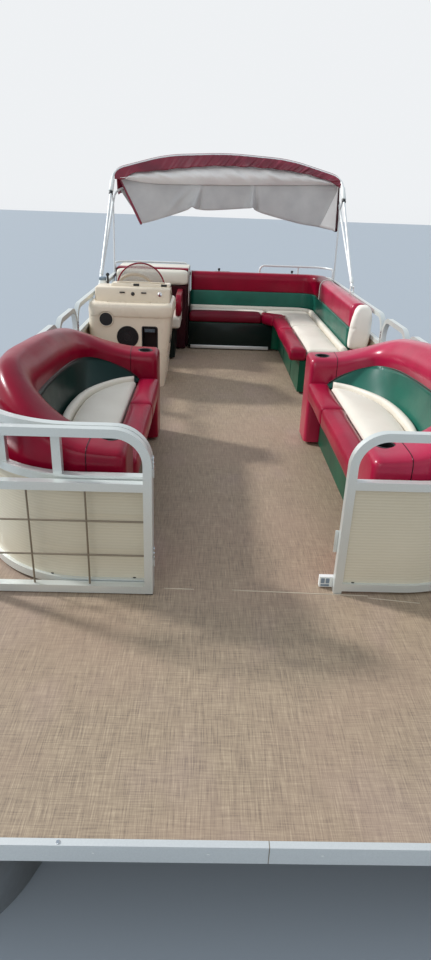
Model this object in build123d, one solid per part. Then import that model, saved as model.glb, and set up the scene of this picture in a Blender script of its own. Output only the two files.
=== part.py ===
"""Pontoon boat with two tubes, a flat deck, fenced seating, a helm console, a folded sun top and an outboard.

Units are millimetres. Every piece is drawn in the deck frame: x to port, y aft from the front fence
line, z up from the top of the deck. The last section moves the pieces to the frame of the written
files: x to port, y aft, z up, with the origin under the middle of the overall box at the keels.
"""
import math
import os

from build123d import *

# Hull
DECK_WIDTH = 2500
FOREDECK = 1130
FENCED_LENGTH = 5130
REAR_DECK = 600
DECK_THICKNESS = 22
DECK_CORNER = 150
TRIM_THICKNESS = 20
TRIM_HEIGHT = 62
TRIM_LIP = 3
TUBE_RADIUS = 305
TUBE_EDGE_GAP = 15
NOSE_LENGTH = 640
NOSE_OVERHANG = 90
# Nose sections: share of the nose's length, share of the radius
NOSE_SECTIONS = ((0, 1.0), (0.15, 0.99), (0.3, 0.95), (0.45, 0.885), (0.6, 0.79), (0.75, 0.66), (0.87, 0.5),
                 (0.95, 0.34), (1.0, 0.18))
TUBE_AFT_INSET = 60
KEEL_DEPTH = 20
KEEL_WIDTH = 30
RISER_HEIGHT = 32
RISER_WIDTH = 150
RISER_WALL = 4
CROSS_HEIGHT = 76
CROSS_FLANGE = 38
CROSS_WALL = 4
CROSS_END_GAP = 30
CROSS_COUNT = 15
CROSS_INSET = 60

# Motor pod and its transom plate
POD_WIDTH = 520
POD_UNDER_DECK = 980
POD_SLOPE = 370
POD_DEPTH = 372
POD_OVERHANG = 330
TRANSOM_THICKNESS = 40
TRANSOM_RISE = 60
GUSSET = 6

# Outboard, drawn with its leg upright about the tilt tube and then tilted up to its parked pose
TILT_TUBE_AFT = 20
TILT_TUBE_RISE = 65
TILT_PARKED = 62
TILT_TUBE_RADIUS = 13
RUNNING_GAP = 0.1
CUT_PAST = 1
BRACKET_INNER = 78
BRACKET_WALL = 12
BRACKET_HOOK = 14
BRACKET_HOOK_DROP = 90
BRACKET_FOOT_DROP = 252
BRACKET_FOOT = 26
BRACKET_RIM = 5
TILT_TUBE_END = 6
SWIVEL_BARREL_WALL = 11
SWIVEL_WEB = 48
SWIVEL_SIDE_GAP = 2
SWIVEL_AFT = 78
SWIVEL_PIN_RADIUS = 16
SWIVEL_WALL = 16
SWIVEL_TOP = 8
SWIVEL_BOTTOM = -300
YOKE_GAP = 4
YOKE_THICKNESS = 22
COWL_WIDTH = 370
COWL_LENGTH = 500
COWL_HEIGHT = 400
COWL_BASE = 62
COWL_CORNER = 105
# Cowl sections from its foot up: share of the height, share of the width, inset at the front and at the back
COWL_SECTIONS = ((0, 0.62, 95, 76), (0.12, 0.84, 42, 34), (0.3, 0.98, 4, 4), (0.6, 1.0, 0, 4),
                 (0.82, 0.95, 20, 18), (0.94, 0.82, 52, 44), (1.0, 0.6, 104, 92))
COWL_FORWARD = 70
LEG_WIDTH = 120
LEG_LENGTH = 130
LEG_BOTTOM = -560
LEG_GAP = 12
LEG_CORNER = 45
LEG_FOOT_SHARE = 0.45
YOKE_LEAD = 30
YOKE_INSET = 10
YOKE_CORNER = 28
VENT_PLATE_LENGTH = 400
VENT_PLATE_WIDTH = 210
VENT_PLATE_THICKNESS = 10
VENT_PLATE_LEAD = 20
GEARCASE_RADIUS = 50
GEARCASE_LENGTH = 360
# Gearcase outline: distance from its front, radius
GEARCASE_PROFILE = ((0, 0), (22, 22), (80, 41), (165, GEARCASE_RADIUS), (265, 49))
STRUT_CORNER = 18
SKEG_THICKNESS = 12
PROP_AXIS_DROP = 740
PROP_RADIUS = 165
PROP_HUB_RADIUS = 38
PROP_HUB_LENGTH = 105
PROP_GAP = 8
BLADE_COUNT = 3
BLADE_PITCH = 330
# Blade sections: share of the way from the axis to the tip, half the chord, half the thickness
BLADE_SECTIONS = ((0.14, 42, 7), (0.36, 62, 5), (0.6, 73, 3.6), (0.82, 66, 2.4), (0.95, 42, 1.6),
                  (1.0, 20, 1))
SKEG_DEPTH = 140

# Fence rails and gates
RAIL = 35
FENCE_INSET = 45
FENCE_TOP = 740
MID_RAIL_TOP = 530
BOTTOM_RAIL_TOP = 48
FENCE_FOOT = 0
FRONT_OPENING = 772
FRONT_PLAN_RADIUS = 530
STERN_PLAN_RADIUS = 200
TOP_BEND = 130
PANEL_THICKNESS = 4
DIVIDER_INSETS = (445, 195)
GATE_GAP = 6
GATE_LIFT = 6
GATE_MID_TOP = 516
GATE_ROD = 4
GATE_ROD_COLUMNS = 3
GATE_ROD_ROWS = 3
SIDE_GATE_FRONT = 1985
SIDE_GATE_BACK = 2615
HINGE_LEAF = 2
HINGE_LEAF_REACH = 30
HINGE_LEAF_OFFSET = 1
HINGE_END_PLAY = 0.5
HINGE_KNUCKLE = 3.7
HINGE_PIN = 2
HINGE_HEIGHT = 60
HINGE_LEVELS = (150, 560)
CATCH_SIZE = 56
CATCH_THICKNESS = 22
SIDE_CATCH_THICKNESS = 8
STERN_RAIL_TUBE = 11
STERN_RAIL_TOP = 845
STERN_RAIL_START_INSET = 795
STERN_RAIL_POST_INSET = 355
STERN_RAIL_BEND = 55
STERN_RAIL_RETURN = 60
STERN_RAIL_SUNK = 2

# Front lounges
LOUNGE_FENCE_GAP = 17.5
LOUNGE_WIDTH = 670
LOUNGE_FRONT = 50
LOUNGE_AFT = 1955
LOUNGE_BASE_SETBACK = 100
SEAT_TOP = 445
SEAT_THICKNESS = 115
SOFT_GAP = 1
BASE_FOOT = 20
BACK_PANEL_THICKNESS = 28
BACK_TUCK = 32
CURVE_STEPS = 200
ROLL_SHOULDER = 1.6
CUP_RADIUS = 42
CUP_DEPTH = 80
CUP_INSET = 88
ARM_TOP = 600
# Stations round the shell from the aft arm to the front one, measured from the shell's aisle face and front
# face: inner x, inner y, height of the roll's lower edge, outer x, outer y, height of the crest, rounding of
# the roll, and 1 where the wall is tucked in behind the back panel
SHELL_STATIONS = (
    (0, 1662, 430, 0, 1903, 600, 38, 0),
    (70, 1662, 430, 70, 1903, 600, 38, 0),
    (140, 1662, 430, 140, 1903, 600, 38, 0),
    (212, 1668, 490, 225, 1903, 608, 48, 1),
    (318, 1666, 538, 375, 1896, 642, 62, 1),
    (412, 1630, 570, 532, 1864, 700, 78, 1),
    (463, 1530, 592, 640, 1730, 750, 84, 1),
    (482, 1350, 618, 668, 1450, 792, 88, 1),
    (485, 1100, 642, 670, 1130, 830, 90, 1),
    (485, 850, 658, 670, 810, 853, 90, 1),
    (485, 640, 664, 666, 550, 866, 88, 1),
    (472, 450, 660, 605, 295, 862, 84, 1),
    (420, 340, 625, 485, 115, 800, 70, 1),
    (330, 290, 570, 352, 25, 703, 60, 1),
    (212, 281, 490, 222, 4, 626, 46, 1),
    (140, 282, 430, 140, 3, 600, 38, 0),
    (70, 282, 430, 70, 3, 600, 38, 0),
    (0, 282, 430, 0, 3, 600, 38, 0),
)
# Where the seat meets the back, measured from the same faces
SEAT_CURVE = ((100, 1650), (245, 1560), (370, 1380), (428, 1200), (448, 970), (430, 740), (370, 560),
              (245, 380), (100, 290))

# Aft lounge, an L along the port side and the stern
AFT_FRONT = 2880
AFT_SEAT_WIDTH = 645
AFT_SEAT_TOP = 390
AFT_SEAT_THICKNESS = 100
AFT_BASE_SETBACK = 90
AFT_FENCE_GAP = 22.5
AFT_BACK_DEPTH = 135
STERN_FENCE_GAP = 17.5
STERN_BACK_DEPTH = 155
STERN_SEAT_DEPTH = 450
STERN_BASE_SETBACK = 10
STERN_LEFT_GAP = 10
AFT_CORNER = 140
AFT_BASE_INSET = 60
AFT_SEAT_LEAD = 10
AFT_ROLL_PROUD = 10
AFT_ROLL_INSET = 15
AFT_SHELL_CORNER = 60
AFT_BOLSTER_BOTTOM = 565
AFT_BOLSTER_TOP = 775
END_CAP_LENGTH = 95
END_CAP_FOOT_PROUD = 15
END_CAP_ROUNDING = 60

# Helm bench
HELM_FENCE_GAP = 27.5
HELM_WIDTH = 720
HELM_SEAT_DEPTH = 540
HELM_PAD_DEPTH = 158
HELM_BLOCK_DEPTH = 497
HELM_BLOCK_OVERLAP = 55
HELM_ROLL_BOTTOM = 670
HELM_ROLL_TOP = 822
HELM_BLOCK_TOP = 812
HELM_ARM_WIDTH = 55
HELM_ARM_TOP = 650

# Console
CONSOLE_FRONT = 2985
CONSOLE_AFT = 3540
CONSOLE_FENCE_GAP = 7.5
CONSOLE_WIDTH = 695
CONSOLE_WALL = 8
CONSOLE_BODY_TOP = 598
CONSOLE_TAPER = 60
CONSOLE_CORNER = 70
LID_TOP = 706
LID_LIP = 12
LID_ROUNDING = 14
LID_AFT_CORNER = 30
DASH_FRONT = 3090
DASH_AFT = 3480
DASH_OUTER_INSET = 50
DASH_INNER_INSET = 15
DASH_SHOULDER = 820
DASH_LEAN = 12
DASH_SHELF = 80
DASH_STEP = 6
DASH_CROWN = 190
CROWN_INSET = 130
DASH_SUNK = 5
DASH_ROUNDING = 9
DASH_TOP = 846
SPEAKER_INSET = 331
SPEAKER_Z = 431
SPEAKER_RADIUS = 92
SPEAKER_FLANGE = 6
SPEAKER_DEPTH = 60
SPEAKER_STEP = 7
CUBBY_INSET = 115
CUBBY_WIDTH = 125
CUBBY_TOP = 520
CUBBY_BOTTOM = 230
CUBBY_DEPTH = 150
PORTHOLE_INSET = 155
PORTHOLE_Z = 575
PORTHOLE_RADIUS = 55
PORTHOLE_DEPTH = 60
DIP_RADIUS = 68
SCREEN_INSET = 427
SCREEN_WIDTH = 400
SCREEN_HEIGHT = 165
SCREEN_THICKNESS = 6
SCREEN_Y = 3200
WHEEL_INSET = 340
WHEEL_Y = 3585
WHEEL_Z = 735
WHEEL_RADIUS = 165
WHEEL_RIM = 14
WHEEL_TILT = 28
WHEEL_HUB = 32
COLUMN_RADIUS = 22
THROTTLE_INSET = 105

# Sun top
TOP_FOOT_INSET = 1280
TOP_PIVOT_Z = 790
TOP_TUBE = 12.5
TOP_PIVOT_INSET = 5
TOP_PIVOT_PIN = 4
TOP_LEAN = 42
TOP_LEG = 1450
TOP_CROWN = 1740
TOP_BOW_BEND = 170
TOP_BOW_SHOULDER_BEND = 1200
TOP_BOW_CROWN_BEND = 2200
TOP_LINK = 1180
REAR_BOW_LEAN = 34
REAR_BOW_START = 110
REAR_BOW_LEG = 1400
REAR_BOW_CROWN = 1660
BRACE_TUBE = 9
BRACE_FOOT_INSET = 360
MOUNT_LENGTH = 70
MOUNT_EAR = 4
MOUNT_FOOT = 8
EAR_REACH = 20
EAR_CROWN = 14
EAR_PLAY = 1
PIN_END = 3
CLOTH = 14
CLOTH_HEM_MIDDLE = 1430
CLOTH_HEM_SIDE = 1250
CLOTH_SIDE_INSET = 70

DECK_FRONT = -FOREDECK
DECK_BACK = FENCED_LENGTH + REAR_DECK
DECK_LENGTH = DECK_BACK - DECK_FRONT
CROSS_TOP = -DECK_THICKNESS
RISER_TOP = CROSS_TOP - CROSS_HEIGHT
TUBE_TOP = RISER_TOP - RISER_HEIGHT
TUBE_CENTRE = TUBE_TOP - TUBE_RADIUS
KEEL_BOTTOM = TUBE_TOP - 2 * TUBE_RADIUS - KEEL_DEPTH
DECK_HEIGHT = -KEEL_BOTTOM
TUBE_X = DECK_WIDTH / 2 - TUBE_EDGE_GAP - TUBE_RADIUS
TUBE_FRONT = DECK_FRONT - NOSE_OVERHANG + NOSE_LENGTH
TUBE_AFT = DECK_BACK - TUBE_AFT_INSET
TRANSOM_AFT = DECK_BACK + POD_OVERHANG
TILT_Y = TRANSOM_AFT + TILT_TUBE_AFT
TILT_Z = TRANSOM_RISE + TILT_TUBE_RISE
POST = FRONT_OPENING / 2 + RAIL / 2
HALF_RAIL = RAIL / 2
FENCE_SIDE = DECK_WIDTH / 2 - FENCE_INSET
FENCE_FACE = FENCE_SIDE - HALF_RAIL
LOUNGE_OUTER = FENCE_FACE - LOUNGE_FENCE_GAP
LOUNGE_INNER = LOUNGE_OUTER - LOUNGE_WIDTH
AFT_OUTER = FENCE_FACE - AFT_FENCE_GAP
AFT_BACK = AFT_OUTER - AFT_BACK_DEPTH
AFT_SEAT_BOTTOM = AFT_SEAT_TOP - AFT_SEAT_THICKNESS
AFT_SEAT_INNER = AFT_OUTER - AFT_SEAT_WIDTH
AFT_BASE_INNER = AFT_SEAT_INNER + AFT_BASE_SETBACK
AFT_STERN = FENCED_LENGTH - HALF_RAIL - STERN_FENCE_GAP
STERN_BACK = AFT_STERN - STERN_BACK_DEPTH
STERN_SEAT_FRONT = STERN_BACK - STERN_SEAT_DEPTH
STERN_BASE_FRONT = STERN_SEAT_FRONT + STERN_BASE_SETBACK
HELM_OUTER = HELM_FENCE_GAP - FENCE_FACE
HELM_INNER = HELM_OUTER + HELM_WIDTH
HELM_BLOCK_INNER = HELM_INNER + HELM_BLOCK_OVERLAP
STERN_LEFT = HELM_BLOCK_INNER + STERN_LEFT_GAP
HELM_BACK_AFT = AFT_STERN - HELM_BLOCK_DEPTH
HELM_SEAT_BACK = HELM_BACK_AFT - HELM_PAD_DEPTH
HELM_SEAT_FRONT = HELM_SEAT_BACK - HELM_SEAT_DEPTH
CONSOLE_OUTER = CONSOLE_FENCE_GAP - FENCE_FACE
CONSOLE_INNER = CONSOLE_OUTER + CONSOLE_WIDTH
DASH_OUTER = CONSOLE_OUTER + DASH_OUTER_INSET
DASH_INNER = CONSOLE_INNER - DASH_INNER_INSET
SPEAKER_X = CONSOLE_OUTER + SPEAKER_INSET
CUBBY_INNER = CONSOLE_INNER - CUBBY_INSET
CUBBY_OUTER = CUBBY_INNER - CUBBY_WIDTH
PORTHOLE_X = CONSOLE_OUTER + PORTHOLE_INSET
SCREEN_X = CONSOLE_OUTER + SCREEN_INSET
WHEEL_X = CONSOLE_OUTER + WHEEL_INSET
THROTTLE_X = CONSOLE_OUTER + THROTTLE_INSET
TOP_HALF_WIDTH = FENCE_SIDE - TOP_PIVOT_INSET
TOP_FOOT_Y = FENCED_LENGTH - TOP_FOOT_INSET
BRACE_FOOT_Y = FENCED_LENGTH - BRACE_FOOT_INSET

parts = {}


def block(x0, x1, y0, y1, z0, z1):
    """A box between two corners."""
    middle = Pos((x0 + x1) / 2, (y0 + y1) / 2, (z0 + z1) / 2)
    return middle * Box(abs(x1 - x0), abs(y1 - y0), abs(z1 - z0))


def starboard(shape):
    """The same piece on the other side of the boat."""
    return mirror(shape, about=Plane.YZ)


def side_plate(points, x0, x1):
    """An outline in the y-z plane, extruded from x0 to x1."""
    outline = make_face(Polyline(*[(x0, y, z) for y, z in points], close=True))
    return extrude(outline, amount=x1 - x0, dir=(1, 0, 0))


def front_plate(points, y0, y1):
    """An outline in the x-z plane, extruded from y0 to y1."""
    outline = make_face(Polyline(*[(x, y0, z) for x, z in points], close=True))
    return extrude(outline, amount=y1 - y0, dir=(0, 1, 0))


def rod(start, end, radius):
    """A round bar between two points."""
    a, b = Vector(*start), Vector(*end)
    plane = Plane(origin=a, z_dir=(b - a).normalized())
    return extrude(plane * Circle(radius), amount=(b - a).length)


def rounded_face(x0, x1, y0, y1, corners):
    """A rectangle in plan. corners maps (side of x, side of y), each -1 or 1, to that corner's radius."""
    face = Pos((x0 + x1) / 2, (y0 + y1) / 2) * Rectangle(x1 - x0, y1 - y0)
    for (side_x, side_y), radius in corners.items():
        point = (x1 if side_x > 0 else x0, y1 if side_y > 0 else y0, 0)
        face = fillet(face.vertices().sort_by_distance(point)[0], radius)
    return face


def rounded_block(x0, x1, y0, y1, z0, z1, corners):
    """A rounded rectangle in plan, extruded from z0 to z1."""
    return Pos(0, 0, z0) * extrude(rounded_face(x0, x1, y0, y1, corners), amount=z1 - z0)


def all_corners(radius):
    """The same radius at the four corners of a plan."""
    return {(a, b): radius for a in (-1, 1) for b in (-1, 1)}


def square_tube(points, bends, start_x_dir):
    """A square rail swept along straight runs joined by arcs."""
    path = FilletPolyline(*points, radius=bends)
    plane = Plane(origin=path @ 0, x_dir=start_x_dir, z_dir=path % 0)
    return sweep(plane * Rectangle(RAIL, RAIL), path=path)


def round_tube(points, bends, radius):
    """A round tube swept along straight runs joined by arcs."""
    path = FilletPolyline(*points, radius=bends)
    return sweep(Plane(origin=path @ 0, z_dir=path % 0) * Circle(radius), path=path)


def one(*pieces):
    """Pieces welded into one."""
    return Part() + list(pieces)


def apart(*pieces):
    """Pieces of one kind that don't touch each other."""
    return Compound([solid for piece in pieces for solid in piece.solids()])


# Hull: tubes, risers, cross-members, deck
def pontoon():
    """The port tube: barrel, nose cone that rises to its tip, keel and a closed aft end."""
    barrel = rod((TUBE_X, TUBE_FRONT, TUBE_CENTRE), (TUBE_X, TUBE_AFT, TUBE_CENTRE), TUBE_RADIUS)
    rings = []
    keel_line = []
    for along, share in NOSE_SECTIONS:
        radius = TUBE_RADIUS * share
        y = TUBE_FRONT - NOSE_LENGTH * along
        z = TUBE_TOP - radius
        rings.append(Plane(origin=(TUBE_X, y, z), x_dir=(1, 0, 0), z_dir=(0, -1, 0)) * Circle(radius))
        keel_line.append((y, z - radius))
    nose = loft(rings)
    under = keel_line + [(y, z - KEEL_DEPTH) for y, z in reversed(keel_line)]
    inside = [(y, z + KEEL_DEPTH) for y, z in keel_line]
    nose_keel = side_plate(inside + under[len(keel_line):], TUBE_X - KEEL_WIDTH / 6, TUBE_X + KEEL_WIDTH / 6)
    keel = block(TUBE_X - KEEL_WIDTH / 2, TUBE_X + KEEL_WIDTH / 2, TUBE_FRONT, TUBE_AFT,
                 KEEL_BOTTOM, KEEL_BOTTOM + 2 * KEEL_DEPTH)
    return one(barrel, nose, keel, nose_keel)


def riser():
    """The channel along the top of the port tube, its legs cut to seat on the tube."""
    half = RISER_WIDTH / 2
    leg_drop = RISER_HEIGHT + half ** 2 / TUBE_RADIUS
    outer = block(TUBE_X - half, TUBE_X + half, TUBE_FRONT, TUBE_AFT, RISER_TOP - leg_drop, RISER_TOP)
    inner = block(TUBE_X - half + RISER_WALL, TUBE_X + half - RISER_WALL, TUBE_FRONT, TUBE_AFT,
                  RISER_TOP - leg_drop, RISER_TOP - RISER_WALL)
    tube = rod((TUBE_X, TUBE_FRONT, TUBE_CENTRE), (TUBE_X, TUBE_AFT, TUBE_CENTRE), TUBE_RADIUS)
    return outer - inner - tube


def cross_members():
    """Channel beams across the tubes, evenly spaced under the deck."""
    half = DECK_WIDTH / 2 - CROSS_END_GAP
    beams = []
    first = DECK_FRONT + CROSS_INSET
    pitch = (DECK_LENGTH - 2 * CROSS_INSET - CROSS_FLANGE) / (CROSS_COUNT - 1)
    for index in range(CROSS_COUNT):
        y = first + index * pitch
        solid_bar = block(-half, half, y, y + CROSS_FLANGE, RISER_TOP, CROSS_TOP)
        hollow = block(-half, half, y + CROSS_WALL, y + CROSS_FLANGE,
                       RISER_TOP + CROSS_WALL, CROSS_TOP - CROSS_WALL)
        beams.append(solid_bar - hollow)
    return apart(*beams)


def deck():
    half = DECK_WIDTH / 2
    return rounded_block(-half, half, DECK_FRONT, DECK_BACK, -DECK_THICKNESS, 0, all_corners(DECK_CORNER))


def deck_trim():
    """The extruded edge all round the deck, with a lip that stands just over the covering."""
    half = DECK_WIDTH / 2
    grown = TRIM_THICKNESS
    band = rounded_block(-half - grown, half + grown, DECK_FRONT - grown, DECK_BACK + grown,
                         TRIM_LIP - TRIM_HEIGHT, TRIM_LIP, all_corners(DECK_CORNER + grown))
    hole = rounded_block(-half, half, DECK_FRONT, DECK_BACK,
                         TRIM_LIP - TRIM_HEIGHT - CUT_PAST, TRIM_LIP + CUT_PAST, all_corners(DECK_CORNER))
    return band - hole


parts["pontoon_port"] = pontoon()
parts["pontoon_starboard"] = starboard(parts["pontoon_port"])
parts["tube_risers"] = apart(riser(), starboard(riser()))
parts["cross_members"] = cross_members()
parts["deck"] = deck()
parts["deck_trim"] = deck_trim()


# Motor pod with its raised transom plate and two gussets
def motor_pod():
    half = POD_WIDTH / 2
    bottom = RISER_TOP - POD_DEPTH
    well = TRANSOM_AFT - TRANSOM_THICKNESS
    front = DECK_BACK - POD_UNDER_DECK
    body = side_plate([(front, RISER_TOP), (front + POD_SLOPE, bottom), (TRANSOM_AFT, bottom),
                       (TRANSOM_AFT, TRANSOM_RISE), (well, TRANSOM_RISE), (well, RISER_TOP)], -half, half)
    start = DECK_BACK + 2 * TRIM_THICKNESS
    outline = [(start, RISER_TOP), (well, RISER_TOP), (well, TRANSOM_RISE), (start, RISER_TOP + GUSSET)]
    left = side_plate(outline, half - GUSSET, half)
    return one(body, left, starboard(left))


parts["motor_pod"] = motor_pod()


# Outboard. Each piece is drawn with its leg upright, then turned up about the tilt tube.
TILT_AXIS = Axis((0, TILT_Y, TILT_Z), (1, 0, 0))
STEER_Y = TILT_Y + SWIVEL_AFT
PROP_Y = STEER_Y + GEARCASE_LENGTH / 2 + PROP_GAP + 60
PROP_Z = TILT_Z - PROP_AXIS_DROP


def parked(shape):
    """Tilted up from the running position to the parked one."""
    return shape.rotate(TILT_AXIS, TILT_PARKED)


def transom_bracket():
    """Two clamp plates hooked over the transom, carrying the tilt tube between them."""
    front = TRANSOM_AFT - TRANSOM_THICKNESS
    hook = front - BRACKET_HOOK
    rim = TILT_TUBE_RADIUS + BRACKET_RIM
    hook_end = TRANSOM_RISE - BRACKET_HOOK_DROP
    foot = TRANSOM_RISE - BRACKET_FOOT_DROP
    outline = [(hook, hook_end), (front, hook_end), (front, TRANSOM_RISE), (TRANSOM_AFT, TRANSOM_RISE),
               (TRANSOM_AFT, foot), (TRANSOM_AFT + BRACKET_FOOT, foot), (TILT_Y + rim, TILT_Z - rim),
               (TILT_Y + rim, TILT_Z + rim), (front, TILT_Z + rim), (hook, TILT_Z - rim)]
    plate = side_plate(outline, BRACKET_INNER, BRACKET_INNER + BRACKET_WALL)
    reach = BRACKET_INNER + BRACKET_WALL + TILT_TUBE_END
    tube = rod((-reach, TILT_Y, TILT_Z), (reach, TILT_Y, TILT_Z), TILT_TUBE_RADIUS)
    return one(plate, starboard(plate), tube)


def swivel_bracket():
    """The barrel on the tilt tube and the upright housing that the steering pin turns in."""
    reach = BRACKET_INNER - SWIVEL_SIDE_GAP
    barrel_radius = TILT_TUBE_RADIUS + SWIVEL_BARREL_WALL
    top, bottom = TILT_Z + SWIVEL_TOP, TILT_Z + SWIVEL_BOTTOM
    barrel = rod((-reach, TILT_Y, TILT_Z), (reach, TILT_Y, TILT_Z), barrel_radius)
    housing = rod((0, STEER_Y, bottom), (0, STEER_Y, top), SWIVEL_PIN_RADIUS + SWIVEL_WALL)
    half = SWIVEL_WEB / 2
    web = side_plate([(TILT_Y, top), (STEER_Y, top), (STEER_Y, bottom + SWIVEL_WEB),
                      (TILT_Y, TILT_Z - TILT_TUBE_RADIUS)], -half, half)
    shape = one(barrel, housing, web)
    shape -= rod((-reach, TILT_Y, TILT_Z), (reach, TILT_Y, TILT_Z), TILT_TUBE_RADIUS + RUNNING_GAP)
    return shape - rod((0, STEER_Y, bottom - CUT_PAST), (0, STEER_Y, top + CUT_PAST),
                       SWIVEL_PIN_RADIUS + RUNNING_GAP)


def drive_leg():
    """Steering pin with its two yokes, and the tapered leg down to the gearcase."""
    upper = TILT_Z + SWIVEL_TOP + YOKE_GAP
    lower = TILT_Z + SWIVEL_BOTTOM - YOKE_GAP
    pin = rod((0, STEER_Y, lower - 2), (0, STEER_Y, upper + 2), SWIVEL_PIN_RADIUS)
    leg_front = STEER_Y + SWIVEL_PIN_RADIUS + SWIVEL_WALL + LEG_GAP
    leg_back = leg_front + LEG_LENGTH
    half = LEG_WIDTH / 2
    plate_half = half - YOKE_INSET
    yoke_front, yoke_back = STEER_Y - YOKE_LEAD, leg_back - YOKE_INSET
    rounding = {(-1, -1): YOKE_CORNER, (1, -1): YOKE_CORNER}
    upper_yoke = rounded_block(-plate_half, plate_half, yoke_front, yoke_back, upper,
                               upper + YOKE_THICKNESS, rounding)
    lower_yoke = rounded_block(-plate_half, plate_half, yoke_front, yoke_back, lower - YOKE_THICKNESS,
                               lower, rounding)
    foot_half = half * LEG_FOOT_SHARE
    top = rounded_face(-half, half, leg_front, leg_back, all_corners(LEG_CORNER))
    foot = rounded_face(-foot_half, foot_half, leg_front, leg_back, all_corners(LEG_CORNER * LEG_FOOT_SHARE))
    leg = loft([Pos(0, 0, TILT_Z + LEG_BOTTOM) * foot, Pos(0, 0, TILT_Z + COWL_BASE) * top], ruled=True)
    return one(pin, upper_yoke, lower_yoke, leg)


def engine_cowl():
    """The closed engine cover, narrower at its foot and domed on top."""
    half = COWL_WIDTH / 2
    front = STEER_Y - SWIVEL_AFT - COWL_FORWARD
    back = front + COWL_LENGTH
    faces = []
    for rise, width_share, front_inset, back_inset in COWL_SECTIONS:
        width = half * width_share
        face = rounded_face(-width, width, front + front_inset, back - back_inset,
                            all_corners(COWL_CORNER * width_share))
        faces.append(Pos(0, 0, TILT_Z + COWL_BASE + rise * COWL_HEIGHT) * face)
    return loft(faces)


def lower_unit():
    """Ventilation plate, strut, gearcase and skeg."""
    leg_front = STEER_Y + SWIVEL_PIN_RADIUS + SWIVEL_WALL + LEG_GAP
    plate_z = TILT_Z + LEG_BOTTOM
    half = VENT_PLATE_WIDTH / 2
    plate_front = leg_front - VENT_PLATE_LEAD
    plate = rounded_block(-half, half, plate_front, plate_front + VENT_PLATE_LENGTH,
                          plate_z - VENT_PLATE_THICKNESS, plate_z,
                          {(-1, -1): 90, (1, -1): 90, (-1, 1): 50, (1, 1): 50})
    case_back = PROP_Y - PROP_HUB_LENGTH / 2 - PROP_GAP
    case_front = case_back - GEARCASE_LENGTH
    points = [(0, case_front + along, PROP_Z + radius) for along, radius in GEARCASE_PROFILE]
    points += [(0, case_back, PROP_Z + PROP_HUB_RADIUS)]
    end = (0, case_back, PROP_Z)
    half_section = make_face([Spline(*points), Line(points[-1], end), Line(end, points[0])])
    gearcase = revolve(half_section, Axis((0, 0, PROP_Z), (0, 1, 0)))
    foot = rounded_face(-20, 20, case_front + 70, case_back - 30, all_corners(STRUT_CORNER))
    head = rounded_face(-30, 30, leg_front, leg_front + LEG_LENGTH + 60, all_corners(STRUT_CORNER * 1.5))
    strut = loft([Pos(0, 0, PROP_Z) * foot, Pos(0, 0, plate_z - 2) * head], ruled=True)
    skeg_foot = PROP_Z - GEARCASE_RADIUS - SKEG_DEPTH
    skeg = side_plate([(case_front + 110, PROP_Z), (case_back - 40, PROP_Z), (case_back - 20, skeg_foot),
                       (case_back - 90, skeg_foot)], -SKEG_THICKNESS / 2, SKEG_THICKNESS / 2)
    return one(plate, gearcase, strut, skeg)


def propeller():
    """Three pitched blades on a hub."""
    start = PROP_Y - PROP_HUB_LENGTH / 2
    hub = rod((0, start, PROP_Z), (0, start + PROP_HUB_LENGTH, PROP_Z), PROP_HUB_RADIUS)
    sections = []
    for share, half_chord, half_thickness in BLADE_SECTIONS:
        radius = share * PROP_RADIUS
        slope = math.degrees(math.atan(BLADE_PITCH / (2 * math.pi * radius)))
        leading, trailing = (-half_chord, 0), (half_chord, 0)
        section = make_face([ThreePointArc(leading, (0, half_thickness), trailing),
                             ThreePointArc(trailing, (0, -half_thickness), leading)])
        sections.append(Pos(0, 0, radius) * Rot(0, 0, slope) * section)
    blade = loft(sections)
    turns = [360 * index / BLADE_COUNT for index in range(BLADE_COUNT)]
    return one(hub, *[Pos(0, PROP_Y, PROP_Z) * Rot(0, turn, 0) * blade for turn in turns])


parts["transom_bracket"] = transom_bracket()
parts["swivel_bracket"] = parked(swivel_bracket())
parts["drive_leg"] = parked(drive_leg())
parts["engine_cowl"] = parked(engine_cowl())
parts["lower_unit"] = parked(lower_unit())
parts["propeller"] = parked(propeller())


# Fences
TOP_Z = FENCE_TOP - HALF_RAIL
MID_Z = MID_RAIL_TOP - HALF_RAIL
LOW_Z = BOTTOM_RAIL_TOP - HALF_RAIL
STERN_Y = FENCED_LENGTH
SIDE_SECTION_END = SIDE_GATE_FRONT - GATE_GAP - HALF_RAIL
AFT_SECTION_START = SIDE_GATE_BACK + GATE_GAP + HALF_RAIL


def front_plan(z, start=POST, end=SIDE_SECTION_END):
    """The port front section's line in plan at height z."""
    return [(start, 0, z), (FENCE_SIDE, 0, z), (FENCE_SIDE, end, z)]


def aft_plan(z, start=AFT_SECTION_START, end=GATE_GAP / 2 + HALF_RAIL):
    """The port aft section's line in plan at height z: along the side, then across the stern."""
    return [(FENCE_SIDE, start, z), (FENCE_SIDE, STERN_Y, z), (end, STERN_Y, z)]


def hoop(plan, plan_radius, x_dir):
    """Post, top rail and post in one bent tube over a plan line."""
    first, last = plan[0], plan[-1]
    points = [(first[0], first[1], FENCE_FOOT), *plan, (last[0], last[1], FENCE_FOOT)]
    return square_tube(points, [TOP_BEND, plan_radius, TOP_BEND], x_dir)


def section_frame(plan, plan_radius, along):
    """A fence section: the hoop, a middle rail and a bottom rail. along is the first run's direction."""
    frame = hoop(plan(TOP_Z), plan_radius, along)
    for z in (MID_Z, LOW_Z):
        frame += square_tube(plan(z), [plan_radius], (0, 0, 1))
    return frame


def divider(x, y):
    """An upright between the middle and the top rail."""
    return block(x - HALF_RAIL, x + HALF_RAIL, y - HALF_RAIL, y + HALF_RAIL, MID_Z, TOP_Z)


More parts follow.
